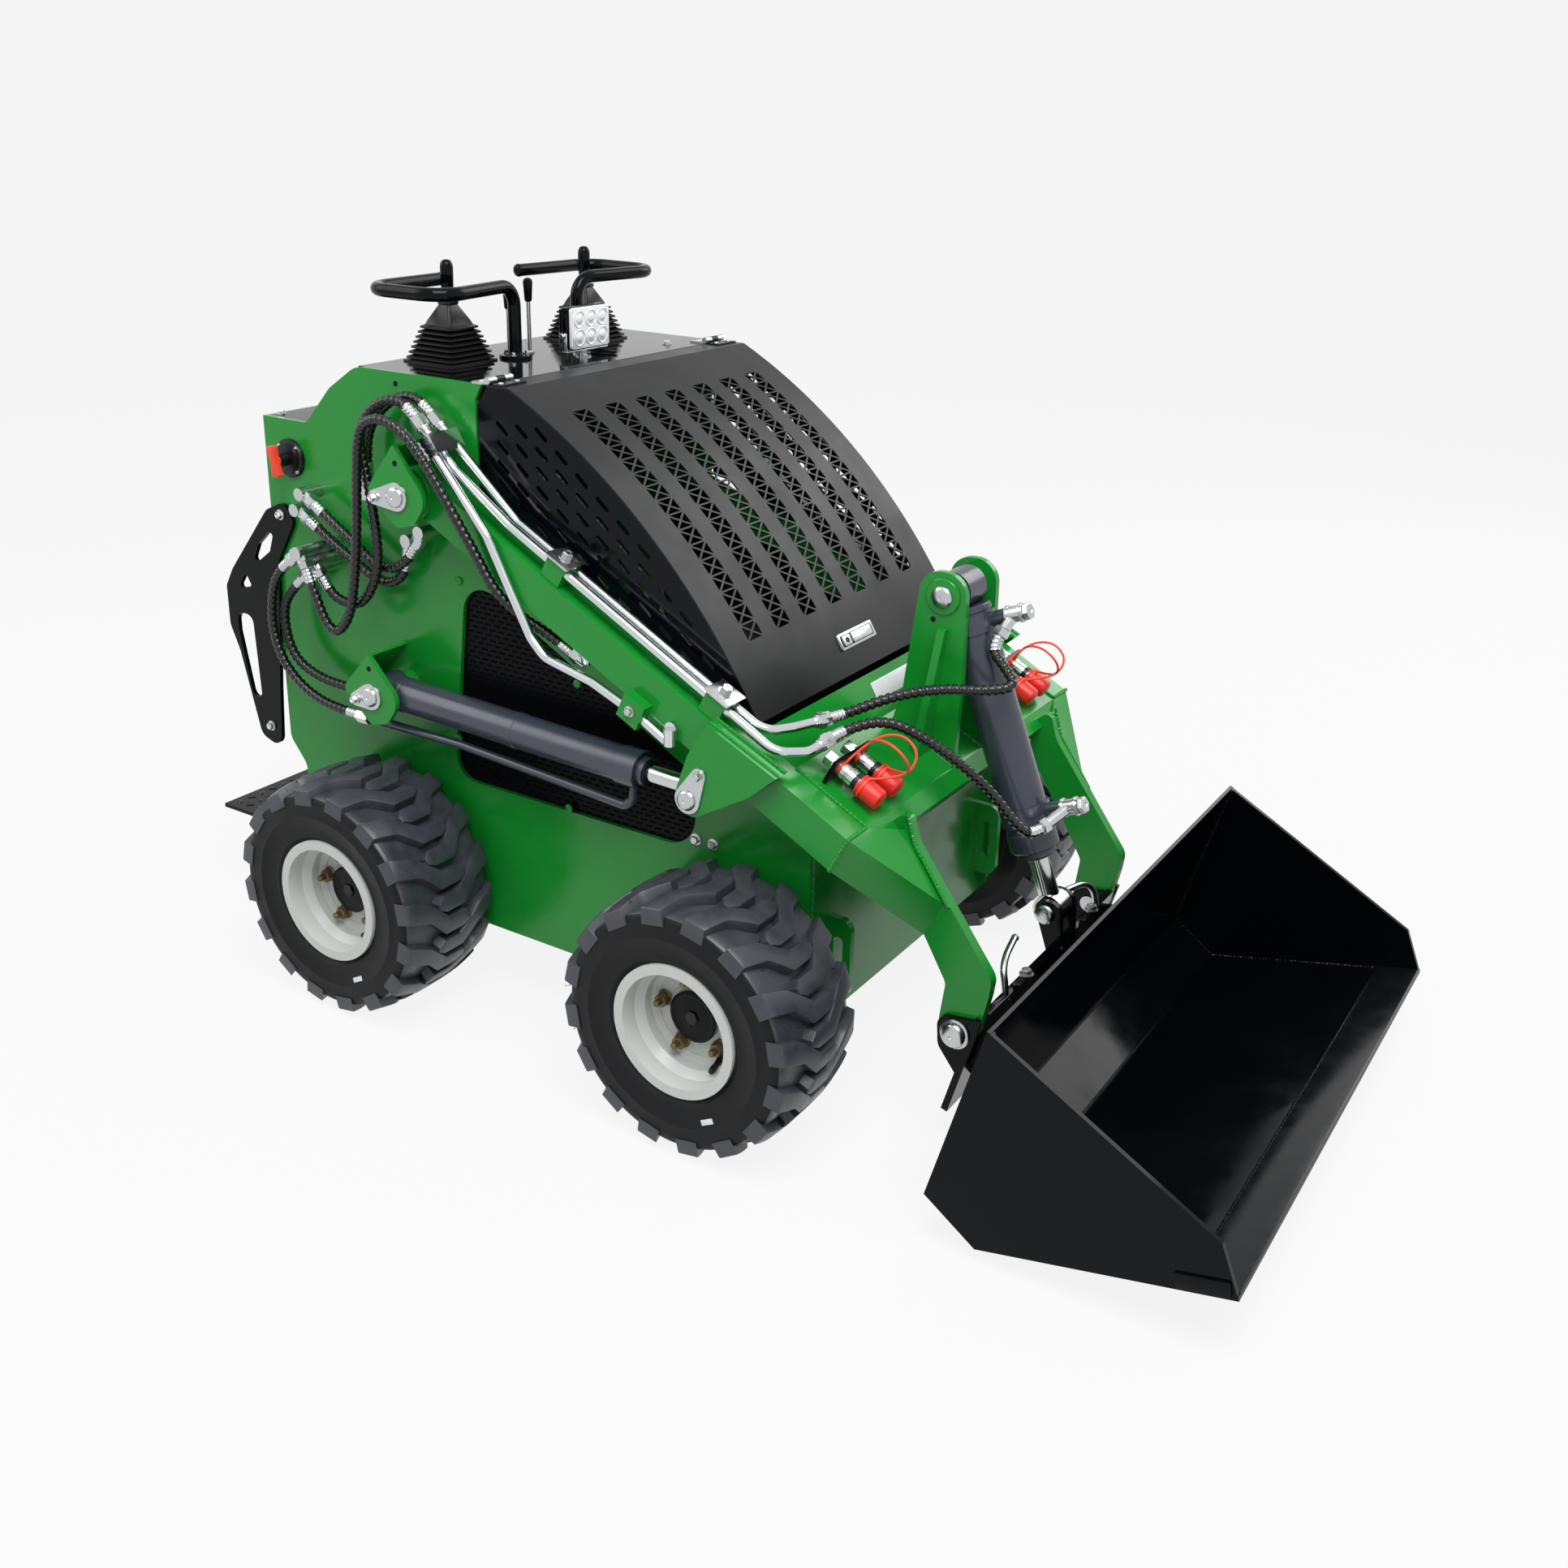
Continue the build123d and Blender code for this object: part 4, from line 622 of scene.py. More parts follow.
HOSE_TILT = [
    [LINE_FAR_END[1], between(*LINE_FAR_END[::-1], -36), (161, -178, 712), (222, -134, 724),
     (285, -92, 720), (318, -54, 724),
     (288, -42, 750), between(TILT_ENDS[0], BANJOS[0], -30), TILT_ENDS[0]],
    [LINE_NEAR_END[1], between(*LINE_NEAR_END[::-1], -36), (172, -230, 690), (225, -190, 657),
     (275, -150, 608),
     (316, -114, 556), (350, -98, 506), between(TILT_ENDS[1], BANJOS[1], -30), TILT_ENDS[1]],
]


def guard_wave(distance, turn):
    """Spiral guard: a flat strip wound round the hose, with a narrow gap between its turns."""
    phase = (distance / GUARD_PITCH - turn) % 1
    edge = min(phase, 0.76 - phase) / 0.12
    return 7.3 + 1.7 * max(0.0, min(1.0, edge))


def ferrule_wave(distance, turn):
    return 10.2 if distance % 7 < 5 else 9.3


def add_hose(piece, route):
    """Guarded hose with a crimped ferrule and a hex nut at each end."""
    line = even_points(route, 1.8)
    piece.add(shaped_tube(line, guard_wave))
    for ends, outward in ((line[:18], line[0] - line[3]), (line[::-1][:18], line[-1] - line[-4])):
        piece.add(shaped_tube(ends, ferrule_wave, 18), None, 1)
        side = (0, 1, 0) if abs(outward.normalized().y) < 0.9 else (0, 0, 1)
        spot = Matrix.Translation(ends[0]) @ stand((-AXLE_X, 0, 0), outward, side)
        piece.add(turned([(0, -5), (11.5, -5), (13.4, -3.5), (13.4, 9), (11.5, 11), (0, 11)], 6), spot, 1)


def build_hoses():
    """Hoses between two bodies, each group made in place where it rests and left on no body; the hoses behind
    the ear go on the chassis.
    """
    groups = [
        ("hoses_to_arm", [HOSE_TO_NEAR, HOSE_UNDER], "hoses_arm", "chassis", "lift_arms",
         (-800, 0, 820), (-650, 0, 930)),
        ("hose_to_far_line", [HOSE_TO_FAR], "hoses_arm", "chassis", "lift_arms", (-806, 0, 968),
         (-740, 0, 1110)),
        ("hoses_tilt_guarded", HOSE_TILT, "hoses_tilt", "lift_arms", "tilt_barrel", (120, -260, 690),
         (300, -60, 690)),
    ]
    for side in (-1, 1):
        routes = [[mirrored(p, side) if side > 0 else p for p in route] for route in HOSE_LIFT]
        tag = "right" if side < 0 else "left"
        groups.append(("hoses_lift_" + tag, routes, "hoses_lift", "chassis", "lift_barrel_" + tag,
                       (-955, 0, 600), (-840, 0, 600)))
    for name, routes, stands_for, first, second, start, end in groups:
        piece = Piece(name, guard_plastic, zinc)
        for route in routes:
            add_hose(piece, route)
        made = piece.done(None, [stands_for])
        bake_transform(made)
    back = Piece("hoses_behind_ear", guard_plastic, zinc)
    for route in HOSE_BACK:
        add_hose(back, route)
    back.done("chassis", ["hoses_arm"])


# ---------------------------------------------------------------- controls on the deck
STICKS = [(-770, -190), (-770, 190)]
LEVERS = [(-724, -29, 137), (-748, -58, 124)]   # x, y and height over the deck


def bellows():
    """Square pleated boot: an upright profile of rings that narrow towards the stick."""
    mesh = bmesh.new()
    rings = [(62, 0, 12), (62, 3, 12), (50, 4, 9)]
    for i in range(7):
        half = 57 - 3.1 * i
        low = 4 + 8.8 * i
        rings += [(half - 7, low, 5), (half, low + 2, 8), (half, low + 5, 8), (half - 7, low + 7.6, 5)]
    rings += [(30, 67, 5), (28, 72, 5), (13, 99, 5), (14.5, 101, 6), (14.5, 106, 6), (9, 107, 4)]
    last = None
    for half, height, notch in rings:
        corners = round_corners([(half, half), (-half, half), (-half, -half), (half, -half)], notch, 3)
        ring = [mesh.verts.new((x, y, height)) for x, y in corners]
        edges = [mesh.edges.new((ring[k - 1], ring[k])) for k in range(len(ring))]
        if last:
            bmesh.ops.bridge_loops(mesh, edges=last + edges)
        else:
            mesh.faces.new(ring)
        last = edges
    bmesh.ops.holes_fill(mesh, edges=last, sides=0)
    return finished(mesh)


def build_controls():
    boots = Piece("joystick_bellows", soft_rubber)
    sticks = Piece("joystick_sticks", gloss_black, zinc)
    for x, y in STICKS:
        boots.add(bellows(), stand((x, y, DECK_Z)))
        threads = [(r, 103 + 1.2 * i) for i, r in enumerate([5.6, 6.6] * 9)]
        sticks.add(turned([(0, 100), (5.6, 100)] + threads + [(0, threads[-1][1])], 16),
                   stand((x, y, DECK_Z)), 1)
        grip = [(0, 119), (9, 119), (10.5, 121), (11, 128), (11.6, 150), (11.6, 164), (10.8, 170), (8, 175),
                (4, 177), (0, 177.4)]
        sticks.add(turned(grip, 28), stand((x, y, DECK_Z)))
    boots.done("chassis", ["joystick_boots"])
    sticks.done("chassis", ["joystick_grips"])

    levers = Piece("lever_knobs", gloss_black, zinc)
    for x, y, height in LEVERS:
        rod = [(0, 0), (9, 0), (9, 2.5), (7, 4), (4, 4.5), (4, height - 40), (0, height - 40)]
        levers.add(turned(rod, 16), stand((x, y, DECK_Z)), 1)
        knob = [(0, height - 43), (5, height - 43), (7, height - 40), (8.6, height - 14), (9, height - 8),
                (7.6, height - 3),
                (4, height - 0.4), (0, height)]
        levers.add(turned(knob, 24), stand((x, y, DECK_Z)))
    levers.done("chassis", ["control_levers"])

    feet = Piece("hand_rest_feet", gloss_black, zinc)
    for side in (-1, 1):
        foot = (-706, side * 88, DECK_Z)
        feet.add(turned([(12, 0), (30, 0), (30, 4.5), (28.5, 6), (17, 6), (13.5, 10), (12, 10), (12, 0)],
                        36), stand(foot))
        for i in range(3):
            angle = math.tau * (i + 0.5) / 3
            add_bolt(feet, stand((foot[0] + 22 * math.cos(angle), foot[1] + 22 * math.sin(angle),
                                  DECK_Z + 6)), 8, 6, 1)
        cap = stand((-866, side * 108, DECK_Z + 130), (-14, side * -198, 0) if side > 0 else (-14, 198, 0))
        add_dome(feet, cap, 12.4, 6)
    feet.done("chassis")


def build_lamp():
    """Work lamp: finned housing, pale bezel, six lens cups, a bracket and its cable."""
    x, y, low = -625, 8, DECK_Z + 16
    lamp = Piece("work_lamp_detail", gloss_black, lens_glass, zinc, soft_rubber)
    front = stand((x + 8, y, low + 39), AHEAD, LEFT)
    lamp.add(cuboid(110, 76, 20, 5), front @ Matrix.Translation((0, 0, -16)))
    for i in range(9):
        lamp.add(cuboid(3, 66, 12, 0.8, 1), front @ Matrix.Translation((-44 + 11 * i, 0, -27)))
    bezel = round_corners([(54, 37), (-54, 37), (-54, -37), (54, -37)], 7)
    lamp.add(plate(bezel, 6, 1.6), front @ Matrix.Translation((0, 0, 4)), 1)
    for column in (-1, 0, 1):
        for row in (-1, 1):
            spot = front @ Matrix.Translation((column * 33, row * 16.5, 10))
            lamp.add(turned([(15.5, -2), (15.8, 0.6), (14.6, 1.4), (12.5, -0.6), (9, -1.4), (7.5, 1.8),
                             (4.5, 3), (0, 3.3)], 24), spot, 1)
    for side in (-1, 1):
        lamp.add(cuboid(18, 3, 34, 1), stand((x, y + side * 57.5, low - 2)), 2)
        add_bolt(lamp, stand((x, y + side * 59, low + 26), (0, side, 0)), 9, 6, 2)
    lamp.add(cuboid(20, 118, 3, 1), stand((x, y, low - 4)), 2)
    lamp.add(turned([(0, -16), (14, -16), (14, -13), (7, -12), (7, -3), (0, -3)], 20), stand((x, y, low)), 2)
    lamp.add(tube([(x - 18, y + 20, low + 30), (x - 40, y + 22, low + 28), (x - 50, y + 30, DECK_Z + 14),
                   (x - 20, y + 44, DECK_Z + 4),
                   (x + 30, y + 60, DECK_Z + 4)], 3), None, 3)
    lamp.done("chassis", ["work_lamp"])


# ---------------------------------------------------------------- hood and body
def build_hood_trim():
    latch = Piece("hood_latch_detail", zinc, satin_black)
    at_latch = on_hood(646, 5)
    outer = round_corners([(59, 15), (-59, 15), (-59, -15), (59, -15)], 5)
    latch.add(plate(outer, 3.4, 1.4), at_latch)
    latch.add(plate(round_corners([(52, 10.5), (-52, 10.5), (-52, -10.5), (52, -10.5)], 3), 0.6, 0.2),
              at_latch @ Matrix.Translation((0, 0, 3.2)), 1)
    latch.add(plate(round_corners([(46, 9), (-20, 9), (-20, -9), (46, -9)], 3), 3, 1),
              at_latch @ Matrix.Translation((0, 0, 3.4)))
    latch.add(plate(round_corners([(-24, 9), (-49, 9), (-49, -9), (-24, -9)], 3), 2.4, 0.8),
              at_latch @ Matrix.Translation((0, 0, 3.4)))
    latch.add(turned([(0, 0), (5, 0), (5, 2.6), (1.6, 2.6), (1.4, 1.2), (0, 1.2)], 16),
              at_latch @ Matrix.Translation((-36, 0, 4)), 1)
    latch.done("hood", ["hood_latch"])

    for name, body, offsets in (("hinge_screws_deck", "chassis", (-20,)),
                                ("hinge_screws_hood", "hood", (22,))):
        screws = Piece(name, zinc)
        for side in (-1, 1):
            for dy in (-20, 20):
                for dx in offsets:
                    add_dome(screws, stand((-545.5 + dx, side * 311 + dy, DECK_Z + 3)), 4.6, 2.6)
        screws.done(body)

    seal = Piece("deck_seal", soft_rubber)
    seal.add(tube([(-546, -336, DECK_Z - 1.5), (-546, 336, DECK_Z - 1.5)], 2.3, smooth=False))
    seal.done("chassis")


def build_body_trim():
    """Bolts, holes drawn as thin black discs of painted shade, label plate and welds of the chassis."""
    bolts = Piece("chassis_bolts", zinc, green_paint, gloss_black)
    outside = BODY_HALF
    for side in (-1, 1):
        out = (0, side, 0)
        for x, z in ((-625, 805), (-362, 669), (-644, 505), (-387, 431)):
            add_dome(bolts, stand((x, side * outside, z), out), 8, 5, 1)
        for x, z in ((-113, 446), (-78, 446)):
            add_bolt(bolts, stand((x, side * outside, z), out), 13, 9)
        for x, z in ((-1066, 858), (-1144, 416)):
            add_bolt(bolts, stand((x, side * (outside + 8), z), out), 13, 9)
        # Thin black discs where the holes are: painted shade inside the holes
        for x, y, z in ((-753, outside, 1136), (-668, EAR_OUT, 1024), (-764, EAR_OUT, 639)):
            bolts.add(turned([(0, 0), (5, 0), (5, 0.5), (0, 0.5)], 16), stand((x, side * y, z), out), 2)
        for (x, z), (fx, fz) in ((PIVOT, (-718, 960)), (LIFT_BASE, (-798, 576))):
            aim = (fx - x, 0, fz - z)
            far = math.hypot(fx - x, fz - z)
            keeper = stand((x, side * EAR_OUT, z), out, aim)
            bolts.add(plate(teardrop(far, 25, 13), 5, 1.2), keeper)
            add_dome(bolts, keeper @ Matrix.Translation((0, 0, 5)), 18, 7)
            add_bolt(bolts, keeper @ Matrix.Translation((far, 0, 5)), 13, 9)
    add_bolt(bolts, stand((-596, 227, DECK_Z)), 12, 8)
    for y in (-318, 318):
        add_bolt(bolts, stand((-1082, y, DECK_Z - 116)), 12, 8)
    bolts.done("chassis")

    strip = Piece("label_strip", label_white)
    down = (104, 0, -175)
    out = Vector((175, 0, 104)).normalized()
    spot = Vector((8, 148, 665)) + Vector(down).normalized() * 34 + out * 0.3
    strip.add(plate(round_corners([(17, 152), (-17, 152), (-17, -152), (17, -152)], 3), 1.4, 0.4),
              stand(spot, out, down))
    strip.done("chassis")

    welds = Piece("chassis_welds", green_paint)
    for side in (-1, 1):
        for (px, pz), apex in ((PIVOT, 88), (LIFT_BASE, 78)):
            add_bead(welds, [(px - 5, side * (outside + 2), pz + apex + 1),
                             (px - 70, side * (outside + 2), pz + 4)])
            add_bead(welds, [(px - 7, side * (EAR_OUT - 11), pz + apex - 3),
                             (px - 68, side * (EAR_OUT - 11), pz + 4)])
        for (px, pz), radius in ((PIVOT, 38), (LIFT_BASE, 24)):
            ring = [(px + radius * math.cos(a), side * (outside + 1.5), pz + radius * math.sin(a))
                    for a in (math.tau * i / 20 for i in range(21))]
            add_bead(welds, ring, 2.6)
        add_bead(welds, [(112, side * 337, 160), (112, side * 337, 488), (9, side * 337, 664)], 2.4)
    welds.done("chassis")


def build_battery_switch():
    switch = Piece("battery_switch_detail", soft_rubber, switch_orange, zinc)
    face = stand((-1032, -BODY_HALF, 969), RIGHT, AHEAD)
    switch.add(turned([(0, 0), (36, 0), (36, 5), (34, 8), (29, 9), (28, 14), (13, 15), (12, 34), (0, 34)],
                      40), face)
    for i in range(4):
        angle = math.tau * (i + 0.5) / 4
        add_bolt(switch, face @ Matrix.Translation((31 * math.cos(angle), 31 * math.sin(angle), 7)), 5, 4, 2)
    handle = round_corners([(10, 29), (-10, 29), (-7, 0), (-10, -29), (10, -29), (7, 0)], 5)
    on_hub = face @ Matrix.Translation((0, 0, 34)) @ Matrix.Rotation(math.radians(12), 4, "Z")
    switch.add(plate(handle, 12, 3), on_hub, 1)
    switch.add(turned([(0, 14), (12.6, 14), (11, 36), (0, 36)], 20), face, 1)
    switch.done("chassis", ["battery_switch"])


def build_thigh_pad():
    """Crowned vinyl pad on the rear panel, with two stitched channels and a piped edge."""
    low, high = (Vector(corner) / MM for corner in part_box("thigh_pad"))
    low.x, high.x = low.x - AXLE_X, high.x - AXLE_X
    depth, half_y, half_z = high.x - low.x, (high.y - low.y) / 2, (high.z - low.z) / 2
    mesh = cuboid(2 * half_z, 2 * half_y, depth, 9, 3)
    bmesh.ops.subdivide_edges(mesh, edges=mesh.edges, cuts=3, use_grid_fill=True)
    bmesh.ops.triangulate(mesh, faces=[f for f in mesh.faces if len(f.verts) > 4])
    for _ in range(2):
        long_edges = [e for e in mesh.edges if e.calc_length() > 16]
        bmesh.ops.subdivide_edges(mesh, edges=long_edges, cuts=1, use_grid_fill=True)
    for vert in mesh.verts:
        u, v = vert.co.x / half_z, vert.co.y / half_y
        if vert.co.z > depth * 0.3:
            crowned = (1 - abs(u) ** 4) * (1 - abs(v) ** 4)
            channel = sum(math.exp(-((v - c) / 0.018) ** 2) for c in (-0.36, 0.36))
            vert.co.z *= 0.72 + 0.28 * crowned - 0.2 * min(1, channel) * (1 - abs(u) ** 6)
        pull = 1 - 0.02 * (1 - u * u if abs(v) > 0.9 else 0) - 0.02 * (1 - v * v if abs(u) > 0.9 else 0)
        vert.co.x *= pull
        vert.co.y *= pull
    pad = Piece("thigh_pad_cushion", foam_vinyl)
    pad.add(finished(mesh), stand((high.x, 0, (low.z + high.z) / 2), (-1, 0, 0), UP))
    edge = [(high.x - 4, y * half_y * 0.985, (low.z + high.z) / 2 + z * half_z * 0.985)
            for y, z in ((0, 1), (0.96, 1), (1, 0.94), (1, -0.94), (0.96, -1), (-0.96, -1), (-1, -0.94),
                         (-1, 0.94), (-0.96, 1), (0, 1))]
    pad.add(tube(edge, 3.2, smooth=False))
    pad.done("chassis", ["thigh_pad"], 60)


def build_platform_tread():
    """Raised tread bars on the standing platform."""
    low, high = (Vector(corner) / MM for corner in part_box("platform"))
    tread = Piece("platform_tread", gloss_black)
    rows, columns = 9, 24
    for i in range(rows):
        for k in range(columns):
            x = low.x - AXLE_X + 22 + i * (high.x - low.x - 44) / (rows - 1)
            y = low.y + 24 + k * (high.y - low.y - 48) / (columns - 1)
            turn = Matrix.Rotation(math.radians(45 if (i + k) % 2 else -45), 4, "Z")
            bar = bmesh.new()
            bmesh.ops.create_cone(bar, segments=6, radius1=4.4, radius2=2.6, depth=1.6, cap_ends=True)
            bmesh.ops.scale(bar, vec=(2.6, 1, 1), verts=bar.verts)
            tread.add(bar, stand((x, y, high.z + 0.8)) @ turn)
    tread.done("chassis")


# ---------------------------------------------------------------- lift arms and tower
def build_arm_hardware():
    """Keepers, pin heads, line clamps' tops and the hex nuts of the steel lines."""
    gear = Piece("arm_hardware", zinc, green_paint, gloss_black)
    for side in (-1, 1):
        out = (0, side, 0)
        aim = (-39 - LIFT_ROD_PIN[0], 0, 613 - LIFT_ROD_PIN[1])
        far = math.hypot(aim[0], aim[2])
        keeper = stand((LIFT_ROD_PIN[0], side * EAR_OUT, LIFT_ROD_PIN[1]), out, aim)
        gear.add(plate(teardrop(far, 24, 13), 5, 1.2), keeper)
        add_dome(gear, keeper @ Matrix.Translation((0, 0, 5)), 17, 7)
        add_bolt(gear, keeper @ Matrix.Translation((far, 0, 5)), 13, 9)
        tower = stand((TOWER_PIN[0], side * TOWER_OUT, TOWER_PIN[1]), out)
        gear.add(turned([(15, 0), (31, 0), (31, 3.4), (29.5, 4.6), (15, 4.6), (15, 0)], 36), tower, 1)
        add_dome(gear, tower @ Matrix.Translation((0, 0, 4)), 19, 9)
        # A thin black disc by the tower pin stands for a hole: painted shade inside it
        gear.add(turned([(0, 0), (5, 0), (5, 0.5), (0, 0.5)], 16), stand((163, side * TOWER_OUT, 812), out),
                 2)
    middle_y = (NEAR_Y + FAR_Y) / 2
    for x in (-368, -51):
        top = Vector((x, middle_y, arm_top(x))) + Vector(SLOPE_UP) * 39.8
        spot = stand(top, SLOPE_UP, SLOPE_DOWN)
        gear.add(cuboid(50, 54, 4, 1.2), spot)
        add_bolt(gear, spot @ Matrix.Translation((0, 0, 4)), 17, 12)
    add_bolt(gear, stand((-183, LOW_Y - 13, 686), RIGHT), 12, 8)
    nut = [(0, 0), (12, 0), (14, 1.6), (14, 13), (12, 14.6), (0, 14.6)]
    collar = [(0, 14), (9.6, 14), (9.6, 22), (8.2, 24), (0, 24)]
    for start, end in (LINE_NEAR, LINE_FAR, LINE_NEAR_END[::-1], LINE_FAR_END[::-1]):
        run = Vector(end) - Vector(start)
        spot = stand(start, run, LEFT)
        gear.add(turned(nut, 6), spot @ Matrix.Translation((0, 0, 4)))
        gear.add(turned(collar, 24), spot @ Matrix.Translation((0, 0, 4)))
    gear.done("lift_arms")


def build_arm_welds():
    welds = Piece("arm_welds", green_paint)
    drop = (ARM_KINK[0] - 31.5, ARM_KINK[1] - 60.3)
    for side in (-1, 1):
        inner, outer = side * ARM_IN, side * (ARM_OUT + 1)
        add_bead(welds, [(ARM_KINK[0], inner, ARM_KINK[1] + 1), (ARM_KINK[0], outer, ARM_KINK[1] + 1),
                         (drop[0], outer, drop[1])])
        for y in (TOWER_OUT + 1.5, TOWER_OUT - 13.5):
            add_bead(welds, [(100, side * y, arm_top(100) + 1), (214, side * y, arm_top(214) + 1)])
        add_bead(welds, [(-27, outer, 702), (102, outer, 642)])
        add_bead(welds, [(-26, side * (EAR_OUT - 10.5), 702), (101, side * (EAR_OUT - 10.5), 642)], 2.6)
        add_bead(welds, [(86, side * (ARM_IN - 1), arm_top(86) + 1),
                         (214, side * (ARM_IN - 1), arm_top(214) + 1)])
        foot = [(250, 568), (265, 516), (330, 425)]
        add_bead(welds, [(x, side * (FOOT_OUT + 1.5), z) for x, z in foot])
        boss = [(PIVOT[0] + 45.5 * math.cos(a), outer,
                 PIVOT[1] + 45.5 * math.sin(a)) for a in (math.tau * i / 24 for i in range(25))]
        add_bead(welds, boss, 2.4)
    welds.done("lift_arms")


def build_couplers():
    """Quick couplers with black seals, red caps, and a tether loop on each cap."""
    couplers = Piece("coupler_detail", zinc, soft_rubber)
    caps = Piece("cap_detail", cap_red, tether_red)
    body = [(0, 0), (10, 0), (10, 6), (13.5, 7), (13.5, 20), (9.5, 21), (9.5, 25), (14, 26), (14, 34),
            (12.8, 35), (12.8, 37),
            (14, 38), (14, 50), (12.4, 52), (12.4, 60), (0, 60)]
    cap = [(0, 60), (17.6, 60), (19, 61), (19, 65), (17.4, 66), (17.4, 72), (18.2, 73), (18.2, 98),
           (17, 102), (13, 104.6), (0, 105)]
    for y in (-312, -256, 256, 312):
        base = Vector((112, y, arm_top(112))) + Vector(SLOPE_UP) * 26
        lay = stand(base, SLOPE_DOWN, SLOPE_UP)
        couplers.add(turned(body, 28), lay)
        couplers.add(turned([(0, -9), (12, -9), (14, -7.5), (14, 8), (12, 9.5), (0, 9.5)], 6), lay)
        couplers.add(turned([(9, 51), (15, 51), (15, 58), (9, 58), (9, 51)], 28), lay, 1)
        caps.add(turned(cap, 32), lay)
        for reach, radius in ((22.5, 10.8), (69, 18.8)):
            caps.add(turned([(radius - 1.6, reach - 2), (radius + 1, reach - 2), (radius + 1, reach + 2),
                             (radius - 1.6, reach + 2),
                             (radius - 1.6, reach - 2)], 28), lay, 1)
        lean = 1 if y in (-312, 256) else -1
        loop = ((69, 0, 19), (92, 12, 34), (112, 30, 58), (104, 46, 84), (70, 50, 92), (40, 40, 74),
                (26, 18, 40), (22, 2, 11))
        points = []
        for along, aside, up in loop:
            spot = base + Vector(SLOPE_DOWN) * along + Vector((0, aside * lean, 0)) + Vector(SLOPE_UP) * up
            points.append(tuple(spot))
        caps.add(tube(points, 2.1), None, 1)
    couplers.done("lift_arms", ["quick_couplers"])
    caps.done("lift_arms", ["coupler_caps"])


# ---------------------------------------------------------------- cylinders
def build_cylinder_trim():
    """Gland collars, base rings, hex nuts and pipe bands, each on its own barrel."""
    run = Vector((LIFT_ROD_PIN[0] - LIFT_BASE[0], 0, LIFT_ROD_PIN[1] - LIFT_BASE[1])).normalized()
    for side, tag in ((-1, "right"), (1, "left")):
        trim = Piece("lift_cylinder_trim_" + tag, slate_paint, zinc, soft_rubber)
        lay = stand((LIFT_BASE[0], side * LIFT_Y, LIFT_BASE[1]), run, LEFT)
        for start, end, radius in ((534, 577, 33.5), (30, 44, 32.5), (300, 314, 32.2)):
            trim.add(turned([(20, start), (radius - 1.2, start), (radius, start + 1.2), (radius, end - 1.2),
                             (radius - 1.2, end),
                             (20, end), (20, start)], 40), lay)
        trim.add(turned([(15.2, 586), (22, 586), (22, 592), (19, 594), (15.2, 594), (15.2, 586)], 32), lay, 2)
        for x, z, drop in ((-820, 522, 0), (-820, 562, 0)):
            y = side * (-NEAR_Y + (5 if z == 522 else -12))
            trim.add(turned([(0, -10), (12, -10), (13.6, -8.5), (13.6, 8), (12, 9.5), (0, 9.5)], 6),
                     stand((x, y, z - drop), AHEAD, LEFT), 1)
        trim.done("lift_barrel_" + tag)
    trim = Piece("tilt_cylinder_trim", slate_paint, zinc, soft_rubber)
    lay = stand((TOWER_PIN[0], 0, TOWER_PIN[1]), tilt_run, LEFT)
    for start, end, radius in ((428, 462, 43), (33, 44, 41.5)):
        trim.add(turned([(24, start), (radius - 1.4, start), (radius, start + 1.4), (radius, end - 1.4),
                         (radius - 1.4, end),
                         (24, end), (24, start)], 44), lay)
    trim.add(turned([(18.2, 470), (27, 470), (27, 478), (23, 480), (18.2, 480), (18.2, 470)], 32), lay, 2)
    for banjo in BANJOS:
        spot = stand(banjo, tilt_front, LEFT)
        trim.add(turned([(0, 20), (13, 20), (15, 21.4), (15, 29), (13, 30.4), (5, 30.4), (4, 29), (0, 29)],
                        6), spot, 1)
        trim.add(turned([(13.5, 12), (16.5, 12), (16.5, 15), (13.5, 15), (13.5, 12)], 24), spot, 1)
        trim.add(turned([(13.5, -12), (16.5, -12), (16.5, -9), (13.5, -9), (13.5, -12)], 24), spot, 1)
    trim.done("tilt_barrel")


# ---------------------------------------------------------------- attachment
BUCKET_INSIDE = [(526.5, 389), (444.5, 88.5), (527.5, 31), (908, 120)]
LIP = Vector((914, 0, 115))
FLOOR_RUN = (Vector((525, 0, 24)) - LIP).normalized()
UPWARD = Vector((-FLOOR_RUN.z, 0, FLOOR_RUN.x))   # square to the bucket's floor
if UPWARD.z < 0:
    UPWARD.negate()


